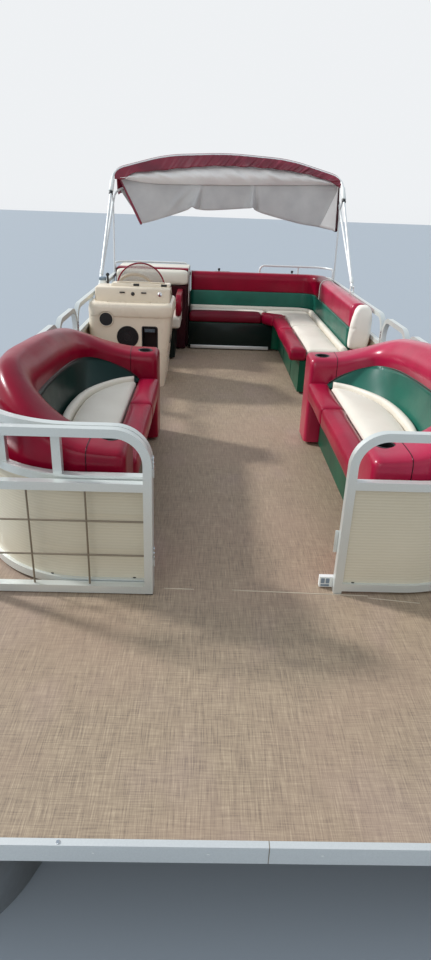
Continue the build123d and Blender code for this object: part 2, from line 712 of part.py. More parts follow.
def on_front_curve(x):
    """The y of the front section's plan line at x."""
    centre_x = FENCE_SIDE - FRONT_PLAN_RADIUS
    if x <= centre_x:
        return 0
    return FRONT_PLAN_RADIUS - math.sqrt(FRONT_PLAN_RADIUS ** 2 - (x - centre_x) ** 2)


def front_hinge_point():
    """Where the front gate's hinge line stands in plan: in the gap, half a gap in front of the rails."""
    return -FRONT_OPENING / 2 + GATE_GAP / 2, -HALF_RAIL - GATE_GAP / 2


def panel(plan, plan_radius):
    """A sheet bent along a section between its bottom and middle rails."""
    low, high = BOTTOM_RAIL_TOP, MID_RAIL_TOP - RAIL
    path = FilletPolyline(*plan((low + high) / 2), radius=[plan_radius])
    plane = Plane(origin=path @ 0, x_dir=(0, 0, 1), z_dir=path % 0)
    return sweep(plane * Rectangle(high - low, PANEL_THICKNESS), path=path)


def front_fence():
    frame = section_frame(front_plan, FRONT_PLAN_RADIUS, (1, 0, 0))
    for inset in DIVIDER_INSETS:
        x = FENCE_SIDE - inset
        frame += divider(x, on_front_curve(x))
    for share in (0.35, 0.7):
        y = FRONT_PLAN_RADIUS + share * (SIDE_SECTION_END - FRONT_PLAN_RADIUS)
        frame += divider(FENCE_SIDE, y)
    return frame


def aft_fence():
    frame = section_frame(aft_plan, STERN_PLAN_RADIUS, (0, 1, 0))
    run = STERN_Y - STERN_PLAN_RADIUS - AFT_SECTION_START
    for share in (0.3, 0.6, 0.9):
        frame += divider(FENCE_SIDE, AFT_SECTION_START + share * run)
    for x in (POST, FENCE_SIDE - STERN_RAIL_POST_INSET):
        frame += divider(x, STERN_Y)
    return frame


def between_posts_front(z):
    return front_plan(z, POST + HALF_RAIL, SIDE_SECTION_END - HALF_RAIL)


def between_posts_aft(z):
    return aft_plan(z, AFT_SECTION_START + HALF_RAIL, GATE_GAP / 2 + 2 * HALF_RAIL)


parts["fence_front_port"] = front_fence()
parts["fence_front_starboard"] = starboard(parts["fence_front_port"])
parts["fence_aft_port"] = aft_fence()
parts["fence_aft_starboard"] = starboard(parts["fence_aft_port"])
front_panel = panel(between_posts_front, FRONT_PLAN_RADIUS)
aft_panel = panel(between_posts_aft, STERN_PLAN_RADIUS)
parts["fence_panels"] = apart(front_panel, starboard(front_panel), aft_panel, starboard(aft_panel))


def stern_rail():
    """A raised hand rail over the port stern corner, with one post."""
    z = STERN_RAIL_TOP - STERN_RAIL_TUBE
    end = STERN_Y - STERN_PLAN_RADIUS - STERN_RAIL_RETURN
    foot = FENCE_TOP - STERN_RAIL_SUNK
    start = FENCE_SIDE - STERN_RAIL_START_INSET
    middle = FENCE_SIDE - STERN_RAIL_POST_INSET
    points = [(start, STERN_Y, foot), (start, STERN_Y, z), (FENCE_SIDE, STERN_Y, z),
              (FENCE_SIDE, end, z), (FENCE_SIDE, end, foot)]
    rail = round_tube(points, [STERN_RAIL_BEND, STERN_PLAN_RADIUS, STERN_RAIL_BEND], STERN_RAIL_TUBE)
    post = rod((middle, STERN_Y, foot), (middle, STERN_Y, z), STERN_RAIL_TUBE * 0.8)
    return one(rail, post) - parts["fence_aft_port"]


parts["stern_rails"] = apart(stern_rail(), starboard(stern_rail()))


# Gates. Each is drawn shut, its hinge post at x 0 and its free end at +x, with its face along y 0.
def gate(width):
    """A bent outline tube, a middle rail, a bottom rail and a grid of thin rods."""
    top = FENCE_TOP - HALF_RAIL
    low = GATE_LIFT + HALF_RAIL
    near, far = HALF_RAIL, width - HALF_RAIL
    frame = square_tube([(near, 0, GATE_LIFT), (near, 0, top), (far, 0, top), (far, 0, GATE_LIFT)],
                        [TOP_BEND, TOP_BEND], (1, 0, 0))
    mid = GATE_MID_TOP - HALF_RAIL
    for z in (low, mid):
        frame += square_bar((near, 0, z), (far, 0, z))
    inner_width = width - 2 * RAIL
    for index in range(1, GATE_ROD_COLUMNS):
        x = RAIL + inner_width * index / GATE_ROD_COLUMNS
        frame += rod((x, 0, low), (x, 0, mid), GATE_ROD)
    for index in range(1, GATE_ROD_ROWS):
        z = low + (mid - low) * index / GATE_ROD_ROWS
        frame += rod((near, 0, z), (far, 0, z), GATE_ROD)
    return frame


def square_bar(start, end):
    """A straight run of square rail along x."""
    return block(start[0], end[0], start[1] - HALF_RAIL, start[1] + HALF_RAIL,
                 start[2] - HALF_RAIL, start[2] + HALF_RAIL)


def shut_gate_hinges(hinge_offset):
    """The gate's leaves and middle knuckles. hinge_offset is the hinge line, from the gate's corner."""
    x, y = hinge_offset
    third = HINGE_HEIGHT / 3
    leaves = []
    for level in HINGE_LEVELS:
        low, high = level - third / 2 + HINGE_END_PLAY, level + third / 2 - HINGE_END_PLAY
        knuckle = rod((x, y, low), (x, y, high), HINGE_KNUCKLE)
        near = x + HINGE_LEAF_OFFSET
        leaf = block(near, near + HINGE_LEAF, y, y + HINGE_LEAF_REACH, low, high)
        bore = rod((x, y, level - third), (x, y, level + third), HINGE_PIN + RUNNING_GAP)
        leaves.append(one(knuckle, leaf) - bore)
    return leaves


def fence_hinges(hinge_point):
    """The fence's leaves, outer knuckles and pins, for the front gate's hinge line."""
    x, y = hinge_point
    third = HINGE_HEIGHT / 3
    pieces = []
    for level in HINGE_LEVELS:
        pin = rod((x, y, level - 1.5 * third), (x, y, level + 1.5 * third), HINGE_PIN)
        shape = pin
        for end in (-1, 1):
            low = level + end * third - third / 2
            shape += rod((x, y, low), (x, y, low + third), HINGE_KNUCKLE)
            near = x - HINGE_LEAF_OFFSET
            shape += block(near - HINGE_LEAF, near, y, y + HINGE_LEAF_REACH, low, low + third)
        pieces.append(shape)
    return pieces


FRONT_GATE_WIDTH = FRONT_OPENING - 2 * GATE_GAP
front_hinge_x, front_hinge_y = front_hinge_point()
gate_corner = (-FRONT_OPENING / 2 + GATE_GAP, 0)
shut = Pos(*gate_corner, 0) * gate(FRONT_GATE_WIDTH)
for leaf in shut_gate_hinges((front_hinge_x, front_hinge_y)):
    shut += leaf
FRONT_HINGE = Axis((front_hinge_x, front_hinge_y, 0), (0, 0, 1))
parts["gate_front"] = shut.rotate(FRONT_HINGE, -180)
for leaf in fence_hinges((front_hinge_x, front_hinge_y)):
    parts["fence_front_starboard"] += leaf


# Side gates hinge at their aft post and swing in over the deck.
def side_gate():
    """The port side gate, shut, running forward from its hinge post."""
    width = SIDE_GATE_BACK - SIDE_GATE_FRONT
    flat = gate(width).rotate(Axis.Z, -90)
    return Pos(FENCE_SIDE, SIDE_GATE_BACK, 0) * flat


def side_hinges():
    """The port side gate's hinges: fence parts with pins, and gate parts with bores."""
    x = FENCE_FACE - HINGE_LEAF - HINGE_LEAF_OFFSET
    y = SIDE_GATE_BACK + GATE_GAP / 2
    third = HINGE_HEIGHT / 3
    on_fence, on_gate = [], []
    for level in HINGE_LEVELS:
        pin = rod((x, y, level - 1.5 * third), (x, y, level + 1.5 * third), HINGE_PIN)
        shape = pin
        for end in (-1, 1):
            low = level + end * third - third / 2
            shape += rod((x, y, low), (x, y, low + third), HINGE_KNUCKLE)
            shape += block(x, FENCE_FACE, y + HINGE_LEAF_OFFSET, y + HINGE_LEAF_REACH, low, low + third)
        on_fence.append(shape)
        low, high = level - third / 2 + HINGE_END_PLAY, level + third / 2 - HINGE_END_PLAY
        knuckle = rod((x, y, low), (x, y, high), HINGE_KNUCKLE)
        leaf = block(x, FENCE_FACE, y - HINGE_LEAF_REACH, y - HINGE_LEAF_OFFSET, low, high)
        bore = rod((x, y, low - CUT_PAST), (x, y, high + CUT_PAST), HINGE_PIN + RUNNING_GAP)
        on_gate.append(one(knuckle, leaf) - bore)
    return on_fence, on_gate


port_gate = side_gate()
fence_leaves, gate_leaves = side_hinges()
port_fence = parts["fence_aft_port"]
for leaf in gate_leaves:
    port_gate += leaf
for leaf in fence_leaves:
    port_fence += leaf
parts["gate_port"] = port_gate
parts["gate_starboard"] = starboard(port_gate)
parts["fence_aft_port"] = port_fence
parts["fence_aft_starboard"] = starboard(port_fence)


def gate_catches():
    """Stop blocks that the gates' free ends meet: one at the front opening, one at each side gate."""
    rear = HALF_RAIL
    size = CATCH_SIZE
    front = FRONT_OPENING / 2
    face = rear + GATE_GAP
    stop = block(front - size, front + RAIL, face, face + CATCH_THICKNESS, GATE_LIFT, size)
    stop += block(front, front + RAIL, rear, face, GATE_LIFT, size)
    outer = FENCE_SIDE + HALF_RAIL
    level = MID_RAIL_TOP - size
    post_end = SIDE_GATE_FRONT - GATE_GAP
    face = outer + GATE_GAP
    start = post_end - RAIL
    side_stop = block(face, face + SIDE_CATCH_THICKNESS, start, post_end + size, level, level + size)
    side_stop += block(outer, outer + GATE_GAP, start, post_end, level, level + size)
    return apart(stop, side_stop, starboard(side_stop))


parts["gate_catches"] = gate_catches()


# Front lounges
def station_plane(station):
    """The upright plane of a station, its x running from the inner to the outer face. Also that width."""
    inner_x, inner_y, _, outer_x, outer_y = station[:5]
    inner = Vector(LOUNGE_INNER + inner_x, LOUNGE_FRONT + inner_y, 0)
    outer = Vector(LOUNGE_INNER + outer_x, LOUNGE_FRONT + outer_y, 0)
    across = (outer - inner).normalized()
    return Plane(origin=inner, x_dir=across, z_dir=across.cross(Vector(0, 0, 1))), (outer - inner).length


def shell_face(station):
    """The shell's section at a station: an upright wall with a round roll over it."""
    rim, crest, roll, tucked = station[2], station[5], station[6], station[7]
    plane, width = station_plane(station)
    wall = BACK_TUCK if tucked else SOFT_GAP
    shoulder = crest - ROLL_SHOULDER * roll
    corners = [(wall, BASE_FOOT), (width, BASE_FOOT), (width, shoulder), (width - roll, crest), (roll, crest),
               (0, max(shoulder, rim + SOFT_GAP)), (0, rim), (wall, rim)]
    points = [plane.from_local_coords((x, z, 0)) for x, z in corners]
    outer_control = plane.from_local_coords((width, crest, 0))
    inner_control = plane.from_local_coords((0, crest, 0))
    edges = [Line(points[index], points[index + 1]) for index in (0, 1, 3, 5, 6)]
    edges += [Line(points[7], points[0]), Bezier(points[2], outer_control, points[3]),
              Bezier(points[4], inner_control, points[5])]
    return make_face(edges)


def lounge_bolster():
    """The one-piece padded shell: arms at both ends with cup holders, rising to the crest of the back."""
    shell = loft([shell_face(station) for station in SHELL_STATIONS])
    x = LOUNGE_INNER + CUP_INSET
    for y in (LOUNGE_AFT - CUP_INSET * 1.6, LOUNGE_FRONT + CUP_INSET * 2):
        shell -= rod((x, y, ARM_TOP - CUP_DEPTH), (x, y, ARM_TOP + CUP_DEPTH), CUP_RADIUS)
    return shell


def seat_plan(inner):
    """The D between the seat's curve and a straight edge on the aisle."""
    points = [(LOUNGE_INNER + x, LOUNGE_FRONT + y) for x, y in SEAT_CURVE]
    first, last = points[0], points[-1]
    curve = Spline(*points)
    return make_face([curve, Line(last, (inner, last[1])), Line((inner, last[1]), (inner, first[1])),
                      Line((inner, first[1]), first)])


def lounge_base():
    """The plinth under the seat."""
    face = seat_plan(LOUNGE_INNER + LOUNGE_BASE_SETBACK - SOFT_GAP)
    return Pos(0, 0, BASE_FOOT) * extrude(face, amount=SEAT_TOP - SEAT_THICKNESS - BASE_FOOT)


def lounge_seat():
    """The seat cushion, a D in plan with its straight edge on the aisle."""
    return Pos(0, 0, SEAT_TOP - SEAT_THICKNESS) * extrude(seat_plan(LOUNGE_INNER), amount=SEAT_THICKNESS)


def seat_edge_from(station):
    """How far the seat's curve lies inward from a station's inner point, along the station's plane."""
    plane, _ = station_plane(station)
    curve = Spline(*[(LOUNGE_INNER + x, LOUNGE_FRONT + y) for x, y in SEAT_CURVE])
    samples = [plane.to_local_coords(curve @ (step / CURVE_STEPS)) for step in range(CURVE_STEPS + 1)]
    inside = [point for point in samples if point.X < SOFT_GAP]
    return min(inside, key=lambda point: CURVE_STEPS * abs(point.Z) - point.X).X


def lounge_back_panel():
    """The upholstered band that leans out from the seat's curve to the roll's lower edge."""
    faces = []
    low, thick = SEAT_TOP + SOFT_GAP, BACK_PANEL_THICKNESS
    for station in SHELL_STATIONS:
        if not station[7]:
            continue
        plane, _ = station_plane(station)
        foot, high = seat_edge_from(station), station[2] - SOFT_GAP
        corners = [(foot, low), (0, high), (thick, high), (foot + thick, low)]
        points = [plane.from_local_coords((x, z, 0)) for x, z in corners]
        faces.append(make_face(Polyline(*points, close=True)))
    return (loft(faces) - lounge_bolster()).solids().sort_by(SortBy.VOLUME)[-1]


for name, make in (("bolster", lounge_bolster), ("base", lounge_base), ("seat", lounge_seat),
                   ("back_panel", lounge_back_panel)):
    parts[f"lounge_{name}_port"] = make()
    parts[f"lounge_{name}_starboard"] = starboard(parts[f"lounge_{name}_port"])


# Aft lounge
def corner_run(side_inner, side_outer, front, stern_front, stern_back, z0, z1, inner_radius, outer_radius):
    """An L in plan: a leg along the port side and one along the stern, from z0 to z1."""
    outer = rounded_face(STERN_LEFT, side_outer, front, stern_back, {(1, 1): outer_radius})
    cut = rounded_face(STERN_LEFT, side_inner, front, stern_front, {(1, 1): inner_radius})
    return Pos(0, 0, z0) * extrude(outer - cut, amount=z1 - z0)


parts["aft_lounge_base"] = corner_run(
    AFT_BASE_INNER, AFT_OUTER - AFT_BASE_INSET, AFT_FRONT + 2 * AFT_SEAT_LEAD, STERN_BASE_FRONT,
    AFT_STERN - AFT_BASE_INSET, BASE_FOOT, AFT_SEAT_BOTTOM, AFT_CORNER / 2, AFT_BASE_INSET)
parts["aft_lounge_seat"] = corner_run(
    AFT_SEAT_INNER, AFT_BACK, AFT_FRONT + AFT_SEAT_LEAD, STERN_SEAT_FRONT, STERN_BACK, AFT_SEAT_BOTTOM,
    AFT_SEAT_TOP, AFT_CORNER, AFT_CORNER)
parts["aft_lounge_back_panel"] = corner_run(
    AFT_BACK - BACK_PANEL_THICKNESS, AFT_BACK, AFT_FRONT + END_CAP_LENGTH, STERN_BACK - BACK_PANEL_THICKNESS,
    STERN_BACK, AFT_SEAT_TOP, AFT_BOLSTER_BOTTOM, AFT_CORNER - BACK_PANEL_THICKNESS, AFT_CORNER)


def aft_bolster():
    """The back of the L: a shell behind the panel, with the bolster's roll standing proud over it."""
    front, gap, proud = AFT_FRONT + END_CAP_LENGTH, SOFT_GAP, AFT_ROLL_PROUD
    shell = corner_run(AFT_BACK + gap, AFT_OUTER, front, STERN_BACK + gap, AFT_STERN, AFT_SEAT_BOTTOM,
                       AFT_BOLSTER_BOTTOM + gap, AFT_CORNER + gap, AFT_CORNER + AFT_SHELL_CORNER)
    roll = corner_run(
        AFT_BACK - proud, AFT_OUTER - AFT_ROLL_INSET, front, STERN_BACK - proud, AFT_STERN - AFT_ROLL_INSET,
        AFT_BOLSTER_BOTTOM + gap, AFT_BOLSTER_TOP, AFT_CORNER - proud,
        AFT_CORNER + AFT_SHELL_CORNER - AFT_ROLL_INSET)
    return one(shell, roll)


def end_cap():
    """The padded end of the port back, which covers the bolster's open end."""
    y1 = AFT_FRONT + END_CAP_LENGTH - SOFT_GAP
    beside, over, under = AFT_BACK + SOFT_GAP, AFT_SEAT_TOP + SOFT_GAP, AFT_SEAT_BOTTOM + SOFT_GAP
    foot = [(AFT_BACK - END_CAP_FOOT_PROUD, over), (beside, over), (beside, under), (AFT_OUTER, under)]
    head = [(AFT_OUTER, AFT_BOLSTER_TOP), (AFT_BACK - AFT_ROLL_PROUD, AFT_BOLSTER_TOP)]
    body = front_plate(foot + head, AFT_FRONT, y1)
    edges = body.edges().filter_by(Axis.Y).group_by(Axis.Z)[-1]
    return fillet(edges, END_CAP_ROUNDING)


parts["aft_lounge_bolster"] = aft_bolster()
parts["aft_lounge_end_cap"] = end_cap()


# Helm bench and the block behind it
def helm_seat():
    face = rounded_face(HELM_OUTER, HELM_INNER, HELM_SEAT_FRONT, HELM_SEAT_BACK, {(-1, -1): 50, (1, -1): 50})
    return Pos(0, 0, SEAT_TOP - SEAT_THICKNESS) * extrude(face, amount=SEAT_THICKNESS)


def helm_back():
    """The pad behind the helmsman with the wide block that carries it."""
    block_top = rounded_block(HELM_OUTER, HELM_BLOCK_INNER, HELM_BACK_AFT, AFT_STERN, BASE_FOOT,
                              HELM_BLOCK_TOP, {(-1, 1): 120})
    pad = block(HELM_OUTER, HELM_INNER + 30, HELM_SEAT_BACK + SOFT_GAP, HELM_BACK_AFT,
                BASE_FOOT, HELM_ROLL_BOTTOM - SOFT_GAP)
    return one(block_top, pad)


def helm_roll():
    """The thick roll along the top of the helm seat's back."""
    body = block(HELM_OUTER + 20, HELM_INNER + 50, HELM_SEAT_BACK, HELM_BACK_AFT - SOFT_GAP,
                 HELM_ROLL_BOTTOM, HELM_ROLL_TOP)
    return fillet(body.edges().filter_by(Axis.X), 45)


def helm_arm():
    """The armrest on the aisle side, a closed pad with a rounded front."""
    z0, z1 = SEAT_TOP + SOFT_GAP, HELM_ARM_TOP
    body = block(HELM_INNER - HELM_ARM_WIDTH, HELM_INNER, HELM_SEAT_FRONT + 20, HELM_SEAT_BACK, z0, z1)
    front = body.edges().filter_by(Axis.X).group_by(Axis.Y)[0].sort_by(Axis.Z)[-1]
    return fillet(front, 90)


parts["helm_base"] = block(HELM_OUTER + 20, HELM_INNER - 60, HELM_SEAT_FRONT + 90, HELM_SEAT_BACK,
                           BASE_FOOT, SEAT_TOP - SEAT_THICKNESS)
parts["helm_seat"] = helm_seat()
parts["helm_back"] = helm_back()
parts["helm_roll"] = helm_roll()
parts["helm_arm"] = helm_arm()


# Console
def console_body():
    """A moulded shell, open at its back for the helmsman's feet, with openings in its front wall."""
    foot_inner = CONSOLE_INNER - CONSOLE_TAPER
    side = {(-1, -1): CONSOLE_CORNER, (1, -1): CONSOLE_CORNER}
    foot = rounded_face(CONSOLE_OUTER, foot_inner, CONSOLE_FRONT, CONSOLE_AFT, side)
    head = rounded_face(CONSOLE_OUTER, CONSOLE_INNER, CONSOLE_FRONT, CONSOLE_AFT, side)
    outside = loft([foot, Pos(0, 0, CONSOLE_BODY_TOP) * head], ruled=True)
    wall = CONSOLE_WALL
    outer, front, aft = CONSOLE_OUTER + wall, CONSOLE_FRONT + wall, CONSOLE_AFT + CUT_PAST
    side = {(-1, -1): CONSOLE_CORNER - wall, (1, -1): CONSOLE_CORNER - wall}
    foot = rounded_face(outer, foot_inner - wall, front, aft, side)
    head = rounded_face(outer, CONSOLE_INNER - wall, front, aft, side)
    inside = loft([Pos(0, 0, -CUT_PAST) * foot, Pos(0, 0, CONSOLE_BODY_TOP + CUT_PAST) * head], ruled=True)
    shell = outside - inside
    front, back = CONSOLE_FRONT - CUT_PAST, CONSOLE_FRONT + wall + CUT_PAST
    shell -= rod((SPEAKER_X, front, SPEAKER_Z), (SPEAKER_X, back, SPEAKER_Z), SPEAKER_RADIUS - 6)
    shell -= rod((PORTHOLE_X, front, PORTHOLE_Z), (PORTHOLE_X, back, PORTHOLE_Z), PORTHOLE_RADIUS)
    shell -= block(CUBBY_OUTER, CUBBY_INNER, front, back, CUBBY_BOTTOM, CUBBY_TOP)
    return shell


def console_top():
    """The lid with its overhanging rim, the raised dash and the dash panel that slopes to the helm."""
    front, aft = CONSOLE_FRONT - LID_LIP, CONSOLE_AFT + LID_LIP
    rim = rounded_block(CONSOLE_OUTER, CONSOLE_INNER + LID_LIP, front, aft, CONSOLE_BODY_TOP, LID_TOP,
                        {(-1, -1): CONSOLE_CORNER, (1, -1): CONSOLE_CORNER,
                         (-1, 1): LID_AFT_CORNER, (1, 1): LID_AFT_CORNER})
    rim = fillet(rim.faces().sort_by(Axis.Z)[-1].edges(), LID_ROUNDING)
    before, deep = front - CUT_PAST, CONSOLE_FRONT + PORTHOLE_DEPTH
    rim -= rod((PORTHOLE_X, before, PORTHOLE_Z), (PORTHOLE_X, CONSOLE_FRONT, PORTHOLE_Z), DIP_RADIUS)
    rim -= rod((PORTHOLE_X, before, PORTHOLE_Z), (PORTHOLE_X, deep, PORTHOLE_Z), PORTHOLE_RADIUS)
    foot, sunk = LID_TOP - DASH_SUNK, DASH_SHOULDER - DASH_SUNK
    shelf_end, crown_end = DASH_FRONT + DASH_SHELF, DASH_FRONT + DASH_CROWN
    slope_y = crown_end + (DASH_TOP - DASH_SHOULDER) / (DASH_TOP - foot) * (DASH_AFT - crown_end)
    shelf = side_plate([(DASH_FRONT, foot), (DASH_FRONT + DASH_LEAN, DASH_SHOULDER), (slope_y, DASH_SHOULDER),
                        (DASH_AFT, foot)], DASH_OUTER, DASH_INNER)
    crown = side_plate([(shelf_end, sunk), (shelf_end + DASH_STEP, DASH_TOP), (crown_end, DASH_TOP),
                        (slope_y, sunk)], DASH_OUTER + CROWN_INSET, DASH_INNER)
    tops = [shape.edges().filter_by(Axis.X).group_by(Axis.Z)[-1] for shape in (shelf, crown)]
    return one(rim, *[fillet(edges, DASH_ROUNDING) for edges in tops])


def console_cubby():
    """The recessed tray behind the opening in the console's front."""
    wall = 3
    front = CONSOLE_FRONT + CONSOLE_WALL
    outer = block(CUBBY_OUTER - wall, CUBBY_INNER + wall, front, front + CUBBY_DEPTH, CUBBY_BOTTOM - wall,
                  CUBBY_TOP + wall)
    inner = block(CUBBY_OUTER, CUBBY_INNER, front, front + CUBBY_DEPTH - wall, CUBBY_BOTTOM, CUBBY_TOP)
    return outer - inner


def speaker():
    """The round speaker: a flange on the console's face and a basket behind it."""
    face = (SPEAKER_X, CONSOLE_FRONT, SPEAKER_Z)
    flange = rod((SPEAKER_X, CONSOLE_FRONT - SPEAKER_FLANGE, SPEAKER_Z), face, SPEAKER_RADIUS)
    basket = rod(face, (SPEAKER_X, CONSOLE_FRONT + SPEAKER_DEPTH, SPEAKER_Z), SPEAKER_RADIUS - SPEAKER_STEP)
    return one(flange, basket)


def windscreen():
    """The small arched screen that stands on the dash."""
    half = SCREEN_WIDTH / 2
    foot, crown = DASH_TOP, DASH_TOP + SCREEN_HEIGHT
    left, right = (SCREEN_X - half, SCREEN_Y, foot), (SCREEN_X + half, SCREEN_Y, foot)
    arch = ThreePointArc(left, (SCREEN_X, SCREEN_Y, crown), right)
    outline = make_face([arch, Line(right, left)])
    return extrude(outline, amount=SCREEN_THICKNESS, dir=(0, 1, 0))


def throttle():
    """The engine control: a box on the dash slope and its lever."""
    y = DASH_AFT + 20
    box = rounded_block(THROTTLE_X - 35, THROTTLE_X + 35, y - 50, y + 10, LID_TOP, LID_TOP + 60, {})
    lever = rod((THROTTLE_X, y - 20, LID_TOP + 50), (THROTTLE_X, y - 35, LID_TOP + 170), 9)
    knob = Pos(THROTTLE_X, y - 35, LID_TOP + 170) * Sphere(16)
    dash = parts["console_top"]
    return one(box, lever, knob) - dash


WHEEL_AXIS = Vector(0, math.cos(math.radians(WHEEL_TILT)), math.sin(math.radians(WHEEL_TILT)))
WHEEL_PLANE = Plane(origin=(WHEEL_X, WHEEL_Y, WHEEL_Z), x_dir=(1, 0, 0), z_dir=WHEEL_AXIS)


def steering_wheel():
    """Rim, three spokes and a hub, in the wheel's own plane."""
    rim = Torus(WHEEL_RADIUS, WHEEL_RIM)
    hub = Pos(0, 0, -10) * Cylinder(WHEEL_HUB, 40)
    shape = one(rim, hub)
    for turn in (90, 210, 330):
        spoke = Rot(0, 0, turn) * Pos(WHEEL_RADIUS / 2, 0, 0) * Box(WHEEL_RADIUS, 26, 8)
        shape += spoke
    return WHEEL_PLANE * shape


def steering_column():
    """The short column from the dash slope to just under the wheel's hub."""
    column = WHEEL_PLANE * Pos(0, 0, -30 - 3 - 75) * Cylinder(COLUMN_RADIUS, 150)
    return column - parts["console_top"]


parts["console_body"] = console_body()
parts["console_top"] = console_top()
parts["console_cubby"] = console_cubby()
parts["console_speaker"] = speaker()
parts["windscreen"] = windscreen()
parts["throttle"] = throttle()
parts["steering_column"] = steering_column()
parts["steering_wheel"] = steering_wheel()


# Sun top: bows folded back over the stern from one pair of feet, with the cloth gathered on them
def leaned(y_along, z_across, lean):
    """A point in a bow's plane: y_along up the leg, leaned aft from the level by lean degrees."""
    angle = math.radians(lean)
    y = TOP_FOOT_Y + y_along * math.cos(angle) - z_across * math.sin(angle)
    z = TOP_PIVOT_Z + y_along * math.sin(angle) + z_across * math.cos(angle)
    return y, z


def bow(lean, start, leg, crown):
    """A bow: two legs and an arch, bent in one plane that leans aft."""
    half = TOP_HALF_WIDTH
    rise = crown - leg
    shoulder = half * 0.55
    route = [(-half, start), (-half, leg), (-shoulder, leg + rise * 0.8), (0, crown),
             (shoulder, leg + rise * 0.8), (half, leg), (half, start)]
    points = []
    for x, along in route:
        y, z = leaned(along, 0, lean)
        points.append((x, y, z))
    bends = [TOP_BOW_BEND, TOP_BOW_SHOULDER_BEND, TOP_BOW_CROWN_BEND, TOP_BOW_SHOULDER_BEND, TOP_BOW_BEND]
    return round_tube(points, bends, TOP_TUBE)


def top_mount():
    """The port deck mount on the fence rail: a foot plate with two ears and the pivot pin."""
    half = MOUNT_LENGTH / 2
    foot_top = FENCE_TOP + MOUNT_FOOT
    shape = block(FENCE_SIDE - HALF_RAIL, FENCE_SIDE + HALF_RAIL, TOP_FOOT_Y - half, TOP_FOOT_Y + half,
                  FENCE_TOP, foot_top)
    low, high, crown = foot_top - CUT_PAST, TOP_PIVOT_Z + EAR_CROWN, EAR_CROWN
    outline = [(TOP_FOOT_Y - EAR_REACH, low), (TOP_FOOT_Y + EAR_REACH, low), (TOP_FOOT_Y + crown, high),
               (TOP_FOOT_Y - crown, high)]
    ear_inner = TOP_TUBE + EAR_PLAY
    ear_outer = ear_inner + MOUNT_EAR
    for x0, x1 in ((-ear_outer, -ear_inner), (ear_inner, ear_outer)):
        shape += side_plate(outline, TOP_HALF_WIDTH + x0, TOP_HALF_WIDTH + x1)
    reach = ear_outer + PIN_END
    return shape + rod((TOP_HALF_WIDTH - reach, TOP_FOOT_Y, TOP_PIVOT_Z),
                       (TOP_HALF_WIDTH + reach, TOP_FOOT_Y, TOP_PIVOT_Z), TOP_PIVOT_PIN)


def top_bows():
    """The main bow with its pivot eyes, and the rear bow that springs from the main legs."""
    main = bow(TOP_LEAN, 0, TOP_LEG, TOP_CROWN)
    rear = bow(REAR_BOW_LEAN, REAR_BOW_START, REAR_BOW_LEG, REAR_BOW_CROWN)
    shape = one(main, rear)
    for side in (-1, 1):
        x, eye = side * TOP_HALF_WIDTH, TOP_TUBE
        shape += rod((x - eye, TOP_FOOT_Y, TOP_PIVOT_Z), (x + eye, TOP_FOOT_Y, TOP_PIVOT_Z), eye)
        start_main = leaned(REAR_BOW_START, 0, TOP_LEAN)
        start_rear = leaned(REAR_BOW_START, 0, REAR_BOW_LEAN)
        shape += rod((x, *start_main), (x, *start_rear), TOP_TUBE)
        link_main, link_rear = leaned(TOP_LINK, 0, TOP_LEAN), leaned(TOP_LINK, 0, REAR_BOW_LEAN)
        shape += rod((x, *link_main), (x, *link_rear), BRACE_TUBE)
    reach = TOP_HALF_WIDTH + TOP_TUBE + CUT_PAST
    return shape - rod((-reach, TOP_FOOT_Y, TOP_PIVOT_Z), (reach, TOP_FOOT_Y, TOP_PIVOT_Z),
                       TOP_PIVOT_PIN + RUNNING_GAP)


def top_brace():
    """The port brace pole that stands on the side rail and holds the folded bows up."""
    y, z = leaned(TOP_LINK, 0, REAR_BOW_LEAN)
    low = FENCE_TOP + GATE_GAP
    pole = rod((TOP_HALF_WIDTH, BRACE_FOOT_Y, low), (TOP_HALF_WIDTH, y, z), BRACE_TUBE)
    return pole - parts["top_bows"]


def top_cloth():
    """The gathered cloth: a band along the main bow and the sheet that hangs behind it to its hem."""
    half = TOP_HALF_WIDTH - CLOTH_SIDE_INSET
    y0, z_corner = leaned(TOP_LEG + 60, 0, TOP_LEAN)
    y_crown, z_crown = leaned(TOP_CROWN + 25, 0, TOP_LEAN)
    top = [(-half, z_corner), (0, z_crown), (half, z_corner)]
    hem = [(half, CLOTH_HEM_SIDE), (half * 0.55, CLOTH_HEM_MIDDLE - 60), (0, CLOTH_HEM_MIDDLE),
           (-half * 0.55, CLOTH_HEM_MIDDLE - 60), (-half, CLOTH_HEM_SIDE)]
    arch = ThreePointArc(*[(x, 0, z) for x, z in top])
    lower = Polyline(*[(x, 0, z) for x, z in [top[-1], *hem, top[0]]])
    outline = make_face([*arch.edges(), *lower.edges()])
    sheet = Pos(0, y_crown + TOP_TUBE, 0) * extrude(outline, amount=CLOTH, dir=(0, 1, 0))
    return sheet


parts["top_mounts"] = apart(top_mount(), starboard(top_mount()))
parts["top_bows"] = top_bows()
parts["top_braces"] = apart(top_brace(), starboard(top_brace()))
parts["top_cloth"] = top_cloth() - parts["top_bows"]


# Written files: the origin under the middle of the overall box
boxes = [shape.bounding_box() for shape in parts.values()]
bow_end = min(box.min.Y for box in boxes)
stern_end = max(box.max.Y for box in boxes)
middle = (bow_end + stern_end) / 2
TO_FILE = Pos(0, -middle, DECK_HEIGHT)
os.makedirs("parts", exist_ok=True)
for name, shape in parts.items():
    export_step(TO_FILE * shape, f"parts/{name}.step")
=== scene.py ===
"""Looks of the pontoon boat: upholstery, cloth, finishes, small fittings, light and camera.

Lengths are metres. Sizes in the comments and tables are given in the deck frame: x to port, y aft from the
front fence line, z up from the top of the deck. at() moves a deck frame point to the row frame.
"""
import math

import bmesh
import bpy
import numpy as np
from mathutils import Matrix, Vector


